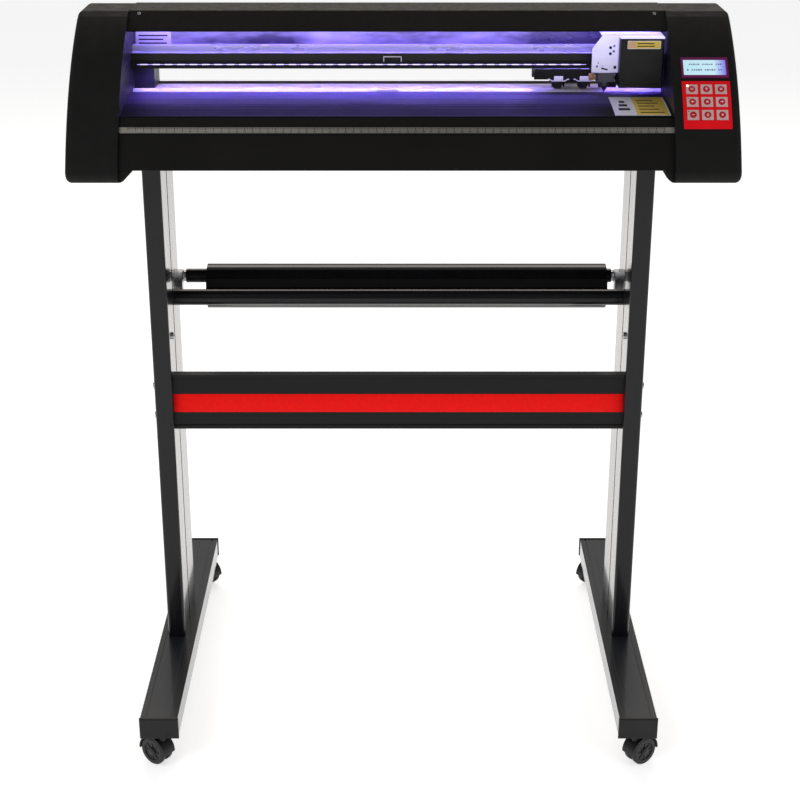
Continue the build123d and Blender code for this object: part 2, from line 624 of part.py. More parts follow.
def carriage_cover():
    """Black moulded cover over the tool lift, open at the back."""
    z1 = CARRIAGE_TOP_Z - PLATE_THICK
    body = block(COVER_X0, COVER_X1, -2.0, CARRIAGE_BACK_Y, CARRIAGE_BOTTOM_Z, z1)
    body = fillet(body.faces().sort_by(Axis.Y)[0].edges(), 2.5)
    return body - block(COVER_X0 + 2, COVER_X1 - 2, 0.5, CARRIAGE_BACK_Y + 1,
                        CARRIAGE_BOTTOM_Z + 2, z1 - 2)


def guide_block():
    """Bearing block that rides on the rail's guide ridge."""
    body = block(290.0, 336.0, GUIDE_Y - 12, GUIDE_Y + 12, RAIL_Z1 + 1, CARRIAGE_TOP_Z - PLATE_THICK)
    return body - block(289.0, 337.0, GUIDE_Y - 6 - GAP, GUIDE_Y + 6 + GAP, RAIL_Z1,
                        GUIDE_Z1 + GAP)


def tool_clamp():
    """Tool lift's slide: a block with the blade holder's bore and the clamp screw's hole."""
    body = block(257.0, 281.0, PLATE_FRONT_Y + PLATE_THICK + GAP, 34.0, 884.0, 930.0)
    body -= rod_z(6.0, TOOL_X, TOOL_Y, 880.0, 935.0)
    body -= rod_x(2.0 + AXLE_PLAY, 250.0, TOOL_X, 20.0, KNOB_Z)
    return chamfer(body.edges().filter_by(Axis.Z).sort_by(Axis.X)[0:2], 2.0)


def blade_holder():
    """Pen-shaped blade holder with a collar, a tapered nose and the blade's tip."""
    body = rod_z(6.0, TOOL_X, TOOL_Y, 882.0, 936.0)
    body -= rod_x(2.0 + AXLE_PLAY, 250.0, 264.9, 20.0, KNOB_Z)
    body += rod_z(7.2, TOOL_X, TOOL_Y, 930.0, 934.0)
    body += rod_z(7.0, TOOL_X, TOOL_Y, 878.0, 884.0)
    body += Pos(TOOL_X, TOOL_Y, 875.0) * Cone(2.2, 5.5, 6.0)
    body += rod_z(1.3, TOOL_X, TOOL_Y, 870.5, 872.5)
    return body + Pos(TOOL_X, TOOL_Y, 869.7) * Cone(0.3, 1.0, 1.6)


def clamp_knob():
    """Knurled brass thumb screw."""
    head = rod_x(KNOB_R, 247.5, 255.0, 20.0, KNOB_Z)
    for i in range(16):
        a = 2 * math.pi * i / 16
        y, z = 20.0 + KNOB_R * math.cos(a), KNOB_Z + KNOB_R * math.sin(a)
        head -= rod_x(0.6, 247.0, 256.0, y, z)
    return head + rod_x(2.0, 255.0, 264.0, 20.0, KNOB_Z)


# --- pinch rollers ----------------------------------------------------------------------
def pinch_bracket():
    """Slider under the rail: a bar with a front lip, a T-shaped tongue, ears and a pin."""
    top = RAIL_Z0 - GAP
    body = block(PINCH_X0, PINCH_X1, 38.5, 88.0, top - 3, top)
    body += block(PINCH_X0, PINCH_X1, 38.5, 40.5, 882.5, top)
    body += block(PINCH_X0 + 4, PINCH_X1 - 4, 72.0 + GAP, 78.0 - GAP, top, RAIL_Z0 + SHEET + GAP)
    body += block(PINCH_X0 + 4, PINCH_X1 - 4, 70.0, 80.0, RAIL_Z0 + SHEET + GAP,
                  RAIL_Z0 + SHEET + 2.3)
    for x in (PINCH_X0, PINCH_X1 - 3):
        body += block(x, x + 3, PINCH_PIVOT_Y - 5, PINCH_PIVOT_Y + 5, PINCH_PIVOT_Z - 5, top)
    return body + rod_x(1.5, PINCH_X0, PINCH_X1, PINCH_PIVOT_Y, PINCH_PIVOT_Z)


def pinch_arm():
    """Lifting arm: a tube on the pivot pin, two cheeks beside each wheel, a rear handle."""
    x0, x1 = PINCH_X0 + 4, PINCH_X1 - 4
    y, z = PINCH_PIVOT_Y, PINCH_PIVOT_Z
    wheel_z = SHAFT_Z + SHAFT_R + GAP + WHEEL_R
    body = rod_x(3.6, x0, x1, y, z)
    for wheel_x in PINCH_WHEELS_X:
        for sign in (-1, 1):
            middle = wheel_x + sign * (PINCH_WHEEL_WIDTH / 2 + 1.8)
            cheek = polygon((y, z - 3.6), (y, z + 3.6), (SHAFT_Y - 3, wheel_z + 4.2),
                            (SHAFT_Y - 4.2, wheel_z), (SHAFT_Y - 3, wheel_z - 4.2),
                            (SHAFT_Y + 6, wheel_z - 4.8))
            body += along_x(cheek, middle - 1.1, middle + 1.1)
    body += block(214.0, 239.0, y, 116.0, z - 1.5, z + 2.0)
    body += block(214.0, 239.0, 113.0, 116.0, z - 1.5, z + 6.0)
    body -= rod_x(1.5 + AXLE_PLAY, x0 - 1, x1 + 1, y, z)
    return body - rod_x(AXLE_R + AXLE_PLAY, x0 - 1, x1 + 1, SHAFT_Y, wheel_z)


def pinch_wheels():
    """Both rubber pinch wheels on their common axle."""
    z = SHAFT_Z + SHAFT_R + GAP + WHEEL_R
    left, right = PINCH_WHEELS_X
    body = rod_x(AXLE_R, left - 11.0, right + 11.0, SHAFT_Y, z)
    for x in PINCH_WHEELS_X:
        wheel = rod_x(WHEEL_R, x - PINCH_WHEEL_WIDTH / 2, x + PINCH_WHEEL_WIDTH / 2, SHAFT_Y, z)
        body += chamfer(wheel.edges().filter_by(GeomType.CIRCLE), 1.2)
    return body


# --- write every sub-part ----------------------------------------------------------------
SIDES = {"left": -1, "right": 1}
ENDS = {"front": -1, "rear": 1}

for side_name, side_sign in SIDES.items():
    save(foot(side_sign), f"foot_{side_name}")
    save(leg(side_sign), f"leg_{side_name}")
    for end_name, end_sign in ENDS.items():
        save(castor_hood(side_sign, end_sign), f"castor_hood_{end_name}_{side_name}")
        save(castor_wheels(side_sign, end_sign), f"castor_wheels_{end_name}_{side_name}")

save(end_plugs(), "extrusion_end_plugs")
save(stand_bolts(), "stand_bolts")
save(crossbeam(), "crossbeam")
save(front_bar(), "front_bar")
save(rod_brackets(), "roll_rod_brackets")
save(roll_rod(), "roll_rod")
save(tube_x(CORE_OUT_R, CORE_IN_R, ROLL_X0, ROLL_X1, ROD_Y, ROLL_Z), "roll_core")
save(tube_x(ROLL_R, CORE_OUT_R, ROLL_X0, ROLL_X1, ROD_Y, ROLL_Z), "vinyl_roll")

save(base_chassis(), "base_chassis")
save(bed(), "bed")
save(front_apron(), "front_apron")
save(ruler_strip(), "ruler_strip")
save(top_cover(), "top_cover")
save(rear_cover(), "rear_cover")
save(side_frames(), "side_frames")
save(rail(), "rail")
save(led_strip(), "led_strip")
save(cap_shell(LEFT_X, -1), "left_cap")
save(right_cap(), "right_cap")
save(lcd_module(), "lcd_module")
save(keypad_membrane(), "keypad_membrane")
save(circuit_boards(), "circuit_boards")
save(socket_panel(), "socket_panel")
save(power_rocker(), "power_rocker")
for key_row in range(3):
    for key_column in range(3):
        save(key(key_column, key_row), f"key_{3 * key_row + key_column + 1}")

save(grit_shaft(), "grit_shaft")
save(motor_pinion(), "motor_pinion")
save(stepper_motors(), "stepper_motors")
save(belt_pulley(DRIVE_X, BELT_Z0 - 12.0), "drive_pulley")
save(belt_pulley(IDLER_X, BELT_Z0 - 6.0), "idler_pulley")
save(drive_belt(), "drive_belt")

save(carriage_plate(), "carriage_plate")
save(carriage_cover(), "carriage_cover")
save(guide_block(), "guide_block")
save(tool_clamp(), "tool_clamp")
save(blade_holder(), "blade_holder")
save(clamp_knob(), "clamp_knob")
save(pinch_bracket(), "pinch_bracket")
save(pinch_arm(), "pinch_arm")
save(pinch_wheels(), "pinch_wheels")
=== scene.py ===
import bpy, bmesh, json, math, random
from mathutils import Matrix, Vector


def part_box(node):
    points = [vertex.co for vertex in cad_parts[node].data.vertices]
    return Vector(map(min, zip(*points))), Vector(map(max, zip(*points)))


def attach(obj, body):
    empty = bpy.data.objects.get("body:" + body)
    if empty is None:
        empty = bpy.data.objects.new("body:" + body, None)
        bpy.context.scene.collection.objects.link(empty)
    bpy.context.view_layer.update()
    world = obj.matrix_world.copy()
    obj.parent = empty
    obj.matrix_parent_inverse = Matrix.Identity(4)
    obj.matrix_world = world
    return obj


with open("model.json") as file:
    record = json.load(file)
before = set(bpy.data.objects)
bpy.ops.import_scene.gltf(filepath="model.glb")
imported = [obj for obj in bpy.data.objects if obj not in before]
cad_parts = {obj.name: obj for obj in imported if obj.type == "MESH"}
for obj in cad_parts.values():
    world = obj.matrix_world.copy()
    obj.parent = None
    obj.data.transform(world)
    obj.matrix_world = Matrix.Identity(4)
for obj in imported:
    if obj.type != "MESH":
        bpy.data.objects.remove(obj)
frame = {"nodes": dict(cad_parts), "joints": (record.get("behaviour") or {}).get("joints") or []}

# Vinyl cutter on a castor stand. Shapes are drawn in millimetres in the frame's own axes,
# +Z up and the operator at -Y, and turned into metres by MM.
MM = 0.001
NODES = frame["nodes"]
JOINTS = {joint["name"]: joint for joint in frame["joints"]}
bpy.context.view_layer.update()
random.seed(7)


def box_mm(node):
    """Lowest and highest corner of a CAD node, in millimetres."""
    low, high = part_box(node)
    return low / MM, high / MM


# --- places worked out from the frame -----------------------------------------------------
BED_LO, BED_HI = box_mm("bed")
RAIL_LO, RAIL_HI = box_mm("rail")
COVER_LO, COVER_HI = box_mm("top_cover")
REAR_LO, REAR_HI = box_mm("rear_cover")
BEAM_LO, BEAM_HI = box_mm("crossbeam")
CARRIAGE_LO, CARRIAGE_HI = box_mm("carriage_plate")
HOOD_LO, HOOD_HI = box_mm("carriage_cover")
RULE_LO, RULE_HI = box_mm("ruler_strip")
LCD_LO, LCD_HI = box_mm("lcd_module")
ROD_LO, ROD_HI = box_mm("roll_rod")
WHEELS_LO, WHEELS_HI = box_mm("pinch_wheels")
ROLL_LO, ROLL_HI = box_mm("vinyl_roll")
PANEL_X = (LCD_LO.x + LCD_HI.x) / 2
STAND_X = (box_mm("leg_left")[0].x + box_mm("leg_right")[1].x) / 2
ARC_Y, ARC_Z, ARC_R = 231.9, 631.4, 387.1   # the caps' curved front: centre and radius
RULE_R = max(math.hypot(ARC_Y - v.co.y / MM, v.co.z / MM - ARC_Z)
             for v in NODES["ruler_strip"].data.vertices)
WHEEL_INSET = 11.0                          # from the end of the pair to a pinch wheel's middle
WHEEL_X = (WHEELS_LO.x + WHEEL_INSET, WHEELS_HI.x - WHEEL_INSET)


# --- shapes --------------------------------------------------------------------------------
class Place:
    """A flat working frame: right and up lie on a face and out points away from it."""

    def __init__(self, origin, right=(1, 0, 0), up=(0, 0, 1)):
        self.origin = Vector(origin)
        self.right = Vector(right).normalized()
        self.out = self.right.cross(Vector(up)).normalized()
        self.up = self.out.cross(self.right)

    def at(self, u, v, w=0.0):
        return (self.origin + self.right * u + self.up * v + self.out * w) * MM

    def moved(self, u, v, w=0.0):
        return Place(self.origin + self.right * u + self.up * v + self.out * w, self.right, self.up)

    def turned(self, degrees):
        a = math.radians(degrees)
        right = self.right * math.cos(a) + self.up * math.sin(a)
        up = self.up * math.cos(a) - self.right * math.sin(a)
        return Place(self.origin, right, up)


def arc_place(angle, radius, x=0.0):
    """Frame on the curved front, angle in degrees above the horizontal."""
    a = math.radians(angle)
    origin = (x, ARC_Y - radius * math.cos(a), ARC_Z + radius * math.sin(a))
    return Place(origin, (1, 0, 0), (0, math.sin(a), math.cos(a)))


def end_view(x):
    """Frame whose u is Y and whose v is Z, looking back from +X."""
    return Place((x, 0, 0), (0, 1, 0), (0, 0, 1))


def rounded(u0, u1, v0, v1, corner=0.0, steps=4):
    """Outline of a rectangle with rounded corners."""
    if not corner:
        return [(u0, v0), (u1, v0), (u1, v1), (u0, v1)]
    points = []
    for u, v, start in ((u1 - corner, v0 + corner, -90), (u1 - corner, v1 - corner, 0),
                        (u0 + corner, v1 - corner, 90), (u0 + corner, v0 + corner, 180)):
        for i in range(steps + 1):
            a = math.radians(start + 90 * i / steps)
            points.append((u + corner * math.cos(a), v + corner * math.sin(a)))
    return points


def circle(radius, sides=24, u=0.0, v=0.0, turn=0.0):
    step = 2 * math.pi / sides
    return [(u + radius * math.cos(turn + i * step), v + radius * math.sin(turn + i * step))
            for i in range(sides)]


def ribbon(points, thick):
    """Outline of a thin strip that follows points, with its thickness along v."""
    return [(u, v - thick / 2) for u, v in points] + [(u, v + thick / 2) for u, v in reversed(points)]


class Shape:
    """Geometry gathered into one mesh; look is the index of its material."""

    def __init__(self):
        self.bm = bmesh.new()

    def face(self, verts, look):
        face = self.bm.faces.new(verts)
        face.material_index = look
        face.smooth = True

    def skin(self, rings, look):
        """A closed body through rings of points, with flat ends."""
        grid = [[self.bm.verts.new(p) for p in ring] for ring in rings]
        count = len(grid[0])
        for a, b in zip(grid, grid[1:]):
            for i in range(count):
                j = (i + 1) % count
                self.face((a[i], a[j], b[j], b[i]), look)
        self.face(list(reversed(grid[0])), look)
        self.face(grid[-1], look)
        return self

    def prism(self, place, outline, low, high, look=0):
        return self.skin([[place.at(u, v, w) for u, v in outline] for w in (low, high)], look)

    def lathe(self, place, profile, look=0, sides=28):
        """A turned body round the place's out axis; profile holds (radius, height) pairs."""
        return self.skin([[place.at(u, v, w) for u, v in circle(r, sides)] for r, w in profile], look)

    def block(self, low, high, look=0):
        (x0, y0, z0), (x1, y1, z1) = low, high
        return self.prism(Place((0, 0, 0)), rounded(x0, x1, z0, z1), -y1, -y0, look)

    def text(self, place, words, size, thick, look=0):
        """Characters centred on the place, standing thick above it."""
        curve = bpy.data.curves.new("characters", "FONT")
        curve.body = words
        curve.size = size
        curve.resolution_u = 2
        curve.align_x = "CENTER"
        curve.align_y = "CENTER"
        curve.extrude = thick / 2
        holder = bpy.data.objects.new("characters", curve)
        mesh = bpy.data.meshes.new_from_object(holder)
        verts = [self.bm.verts.new(place.at(v.co.x, v.co.y, v.co.z + thick / 2))
                 for v in mesh.vertices]
        for polygon in mesh.polygons:
            self.face([verts[i] for i in polygon.vertices], look)
        bpy.data.objects.remove(holder)
        bpy.data.meshes.remove(mesh)
        bpy.data.curves.remove(curve)
        return self

    def screw(self, place, radius, look=0, recess=1, height=None):
        """A pan-head screw; its cross recess is a raised cross in the recess look, which paints the
        recess's shade.
        """
        h = height or radius * 0.45
        self.lathe(place, [(radius, -0.3), (radius, h * 0.45), (radius * 0.86, h * 0.85),
                           (radius * 0.5, h), (0.02, h * 1.02)], look, 20)
        reach, half = radius * 0.62, radius * 0.13
        # painted shade: the cross stands proud of the head, and its dark look stands in for the shade
        # inside a recess
        for turn in (20, 110):
            self.prism(place.turned(turn), rounded(-reach, reach, -half, half),
                       h * 0.7, h * 1.12, recess)
        return self


def soften(obj, width, crease=32.0):
    """Rounds the edges a little and keeps the sharp ones crisp."""
    if width:
        bevel = obj.modifiers.new("edges", "BEVEL")
        bevel.width = width * MM
        bevel.segments = 2
        bevel.limit_method = "ANGLE"
        bevel.angle_limit = math.radians(35.0)
    split = obj.modifiers.new("creases", "EDGE_SPLIT")
    split.split_angle = math.radians(crease)


def piece(name, shape, looks, body, edge=0.0):
    """Turns a shape into an object that rides on a body."""
    bmesh.ops.recalc_face_normals(shape.bm, faces=shape.bm.faces)
    mesh = bpy.data.meshes.new(name)
    shape.bm.to_mesh(mesh)
    shape.bm.free()
    for look in looks:
        mesh.materials.append(MATERIALS[look].mat)
    obj = bpy.data.objects.new(name, mesh)
    bpy.context.scene.collection.objects.link(obj)
    soften(obj, edge)
    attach(obj, body)
    return obj


# --- camera --------------------------------------------------------------------------------
CAM_POS = ((STAND_X + 2.0) * MM, -2.203, 1.325)   # metres
CAM_PITCH = 21.9                                  # degrees below the horizontal
CAM_LENS = 75.0


def make_camera():
    data = bpy.data.cameras.new("camera")
    data.lens = CAM_LENS
    data.sensor_width = 36.0
    data.clip_end = 60.0
    cam = bpy.data.objects.new("camera", data)
    bpy.context.scene.collection.objects.link(cam)
    cam.location = CAM_POS
    cam.rotation_euler = (math.radians(90.0 - CAM_PITCH), 0.0, 0.0)
    bpy.context.scene.camera = cam


# --- materials -----------------------------------------------------------------------------
class Shader:
    """A Principled material with helpers for noise, bump and colour variation."""

    def __init__(self, name, color, rough=0.5, metallic=0.0):
        self.mat = bpy.data.materials.new(name)
        self.mat.use_nodes = True
        self.nodes = self.mat.node_tree.nodes
        self.links = self.mat.node_tree.links
        self.bsdf = self.nodes["Principled BSDF"]
        self.color = tuple(color) + (1.0,)
        self.set("Base Color", self.color)
        self.set("Roughness", rough)
        self.set("Metallic", metallic)
        self.mat.diffuse_color = self.color
        self.coord = self.nodes.new("ShaderNodeTexCoord")
        self.height = None

    def set(self, socket, value):
        self.bsdf.inputs[socket].default_value = value
        return self

    def place(self, scale=(1, 1, 1), offset=(0, 0, 0), turn=(0, 0, 0)):
        node = self.nodes.new("ShaderNodeMapping")
        node.inputs["Scale"].default_value = scale
        node.inputs["Location"].default_value = offset
        node.inputs["Rotation"].default_value = turn
        self.links.new(self.coord.outputs["Object"], node.inputs["Vector"])
        return node.outputs["Vector"]

    def noise(self, scale, detail=4.0, rough=0.55, stretch=(1, 1, 1)):
        node = self.nodes.new("ShaderNodeTexNoise")
        node.inputs["Scale"].default_value = scale
        node.inputs["Detail"].default_value = detail
        node.inputs["Roughness"].default_value = rough
        self.links.new(self.place(stretch), node.inputs["Vector"])
        return node.outputs["Fac"]

    def remap(self, value, low, high, out_low=0.0, out_high=1.0):
        node = self.nodes.new("ShaderNodeMapRange")
        for socket, number in zip(("From Min", "From Max", "To Min", "To Max"),
                                  (low, high, out_low, out_high)):
            node.inputs[socket].default_value = number
        self.links.new(value, node.inputs["Value"])
        return node.outputs["Result"]

    def math(self, operation, a, b=None):
        node = self.nodes.new("ShaderNodeMath")
        node.operation = operation
        for i, value in enumerate((a, b)):
            if value is None:
                continue
            if isinstance(value, (int, float)):
                node.inputs[i].default_value = value
            else:
                self.links.new(value, node.inputs[i])
        return node.outputs["Value"]

    def axis(self, name):
        node = self.nodes.new("ShaderNodeSeparateXYZ")
        self.links.new(self.coord.outputs["Object"], node.inputs["Vector"])
        return node.outputs[name]

    def tint(self, factor, colors):
        """Base colour from a ramp of (position, colour) pairs."""
        node = self.nodes.new("ShaderNodeValToRGB")
        ramp = node.color_ramp
        while len(ramp.elements) < len(colors):
            ramp.elements.new(0.5)
        for element, (position, color) in zip(ramp.elements, colors):
            element.position = position
            element.color = tuple(color) + (1.0,)
        self.links.new(factor, node.inputs["Fac"])
        self.links.new(node.outputs["Color"], self.bsdf.inputs["Base Color"])
        return self

    def shade(self, factor, spread):
        """Base colour varied round the material's own colour."""
        base = self.color[:3]
        low = [c * (1 - spread) for c in base]
        high = [min(1.0, c * (1 + spread)) for c in base]
        return self.tint(factor, ((0.3, low), (0.7, high)))

    def rough(self, factor, low, high):
        self.links.new(self.remap(factor, 0.3, 0.7, low, high), self.bsdf.inputs["Roughness"])
        return self

    def bump(self, factor, strength, distance):
        node = self.nodes.new("ShaderNodeBump")
        node.inputs["Strength"].default_value = strength
        node.inputs["Distance"].default_value = distance
        self.links.new(factor, node.inputs["Height"])
        if self.height is not None:
            self.links.new(self.height, node.inputs["Normal"])
        self.height = node.outputs["Normal"]
        self.links.new(self.height, self.bsdf.inputs["Normal"])
        return self

    def glow(self, color, strength):
        self.set("Emission Color", tuple(color) + (1.0,))
        self.set("Emission Strength", strength)
        return self


def moulded_plastic(name, color, rough=0.62, grain=900.0, depth=0.00012, gloss=0.3):
    s = Shader(name, color, rough)
    s.shade(s.noise(14.0, 5.0), 0.16)
    s.rough(s.noise(60.0, 3.0), rough - 0.07, rough + 0.08)
    s.bump(s.noise(grain, 2.0), 0.55, depth)
    s.set("Specular IOR Level", gloss)
    return s


def powder_coat(name, color, rough=0.45, stretch=(1, 1, 1), gloss=0.3):
    s = Shader(name, color, rough)
    s.shade(s.noise(9.0, 4.0, stretch=stretch), 0.14)
    s.rough(s.noise(120.0, 4.0, stretch=stretch), rough - 0.06, rough + 0.08)
    s.bump(s.noise(1500.0, 2.0), 0.35, 0.00005)
    s.set("Specular IOR Level", gloss)
    return s


def brushed(name, color, rough, stretch, metallic=1.0, spread=0.12):
    s = Shader(name, color, rough, metallic)
    streak = s.noise(90.0, 6.0, 0.7, stretch)
    s.shade(streak, spread)
    s.rough(streak, rough - 0.08, rough + 0.1)
    s.bump(streak, 0.15, 0.00003)
    return s


def extrusion_finish(name, color, stretch, rough=0.3, coat=0.0):
    """Black extrusion: fine die lines along its length under a clear satin coat."""
    s = Shader(name, color, rough)
    lines = s.noise(160.0, 3.0, 0.6, stretch)
    s.shade(lines, 0.2)
    s.rough(lines, rough - 0.05, rough + 0.08)
    s.bump(lines, 0.12, 0.00004)
    s.set("Specular IOR Level", 0.15)
    if coat:
        s.set("Coat Weight", coat)
        s.set("Coat Roughness", 0.08)
        s.set("Coat IOR", 1.24)
    return s


WEB_Y = (80.0 * MM, 86.0 * MM)          # where the rail's ledge turns up into its web


def rail_metal():
    """Black front face, a pale machined ledge behind it and a rolled web, dark violet with pale clouds:
    painted lamp light and painted reflections.
    """
    s = Shader("rail_metal", (0.5, 0.48, 0.55), 0.3, 0.35)
    waves = s.noise(9.0, 4.0, 0.6, (0.6, 1, 1.9))
    ledge = s.remap(s.axis("Y"), RAIL_LO.y * MM + 0.0004, RAIL_LO.y * MM + 0.0008, 0.0, 0.4)
    web = s.remap(s.axis("Y"), *WEB_Y)
    # painted reflection: pale wavy clouds on the web stand in for the lamps' reflections
    painted_reflection = s.math("MULTIPLY", web, s.remap(waves, 0.42, 0.62, 0.2, 0.6))
    bare = (0.62, 0.6, 0.72)
    s.tint(s.math("ADD", ledge, painted_reflection), ((0.0, (0.006, 0.006, 0.008)), (0.38, bare), (0.45, bare),
                                         (0.6, (0.10, 0.09, 0.14)), (1.0, (0.62, 0.6, 0.7))))
    s.rough(waves, 0.24, 0.4)
    s.bump(waves, 0.2, 0.003)
    return s


PAINTED_GLOW_Y = (-46.0 * MM, 6.0 * MM)         # from the black bed to the full painted violet lamp glow beside the shaft


def bed_surface():
    """Black coat with fine lines; painted violet lamp glow makes it paler towards the shaft."""
    s = Shader("bed_coat", (0.022, 0.021, 0.026), 0.36)
    lines = s.noise(240.0, 3.0, 0.6, (0.01, 1, 1))
    painted_glow = s.remap(s.axis("Y"), *PAINTED_GLOW_Y)
    # painted light: the violet near the shaft stands in for the lamps' light, fading to black towards the
    # front
    s.tint(s.math("MULTIPLY", painted_glow, s.remap(lines, 0.3, 0.7, 0.75, 1.0)),
           ((0.0, (0.006, 0.006, 0.0065)), (1.0, (0.080, 0.066, 0.15))))
    s.rough(lines, 0.44, 0.56)
    s.bump(lines, 0.1, 0.00005)
    s.set("Specular IOR Level", 0.08)
    return s


RULE_FIELD_Z = (838.4 * MM, 845.0 * MM)   # the rule's bare field lies between black margins
RULE_BLEND = 0.4 * MM


def rule_metal():
    """Dull aluminium rule with black margins along both edges."""
    s = Shader("rule", (0.20, 0.19, 0.175), 0.46, 0.8)
    streak = s.noise(90.0, 6.0, 0.7, (0.05, 1, 1))
    bottom, top = RULE_FIELD_Z
    above = s.remap(s.axis("Z"), bottom, bottom + RULE_BLEND)
    below = s.remap(s.axis("Z"), top, top + RULE_BLEND, 1.0, 0.0)
    field = s.math("MULTIPLY", above, below)
    s.tint(s.math("MULTIPLY", field, s.remap(streak, 0.2, 0.8, 0.5, 1.0)),
           ((0.0, (0.006, 0.006, 0.006)), (1.0, (0.36, 0.345, 0.31))))
    s.rough(streak, 0.38, 0.54)
    return s


RING_RATE = 9000.0                       # radians per metre: a ring every 0.7 mm


def vinyl():
    """Glossy film; its ends show the wound layers as rings."""
    s = Shader("vinyl_film", (0.006, 0.006, 0.007), 0.07)
    ripple = s.noise(11.0, 3.0, 0.6, (0.35, 1, 1))
    s.rough(ripple, 0.04, 0.13)
    s.shade(s.noise(40.0), 0.2)
    middle = (ROLL_LO + ROLL_HI) / 2 * MM
    dy = s.math("SUBTRACT", s.axis("Y"), middle.y)
    dz = s.math("SUBTRACT", s.axis("Z"), middle.z)
    radius = s.math("SQRT", s.math("ADD", s.math("MULTIPLY", dy, dy), s.math("MULTIPLY", dz, dz)))
    rings = s.math("SINE", s.math("MULTIPLY", radius, RING_RATE))
    s.bump(ripple, 0.2, 0.0016)
    s.bump(rings, 0.3, 0.0002)
    s.set("Specular IOR Level", 0.22)
    return s


def lamp(name, color, strength):
    s = Shader(name, (0.8, 0.78, 0.9), 0.4)
    s.shade(s.noise(300.0), 0.05)
    s.glow(color, strength)
    return s


def screen():
    """Lit display: pale cyan, with a violet edge on the right."""
    s = Shader("screen", (0.02, 0.03, 0.04), 0.18)
    across = s.remap(s.axis("X"), LCD_LO.x * MM, LCD_HI.x * MM)
    s.tint(across, ((0.0, (0.50, 0.80, 0.90)), (0.7, (0.60, 0.84, 0.95)), (0.93, (0.22, 0.22, 0.80))))
    ramp = s.bsdf.inputs["Base Color"].links[0]
    s.links.new(ramp.from_socket, s.bsdf.inputs["Emission Color"])
    s.links.remove(s.bsdf.inputs["Base Color"].links[0])
    s.set("Emission Strength", 0.95)
    s.rough(s.noise(50.0), 0.12, 0.24)
    return s


def printed(name, color, rough=0.4):
    s = Shader(name, color, rough)
    s.shade(s.noise(220.0, 3.0), 0.05)
    s.rough(s.noise(80.0), rough - 0.06, rough + 0.08)
    s.set("Specular IOR Level", 0.12)
    return s


MATERIALS = {}


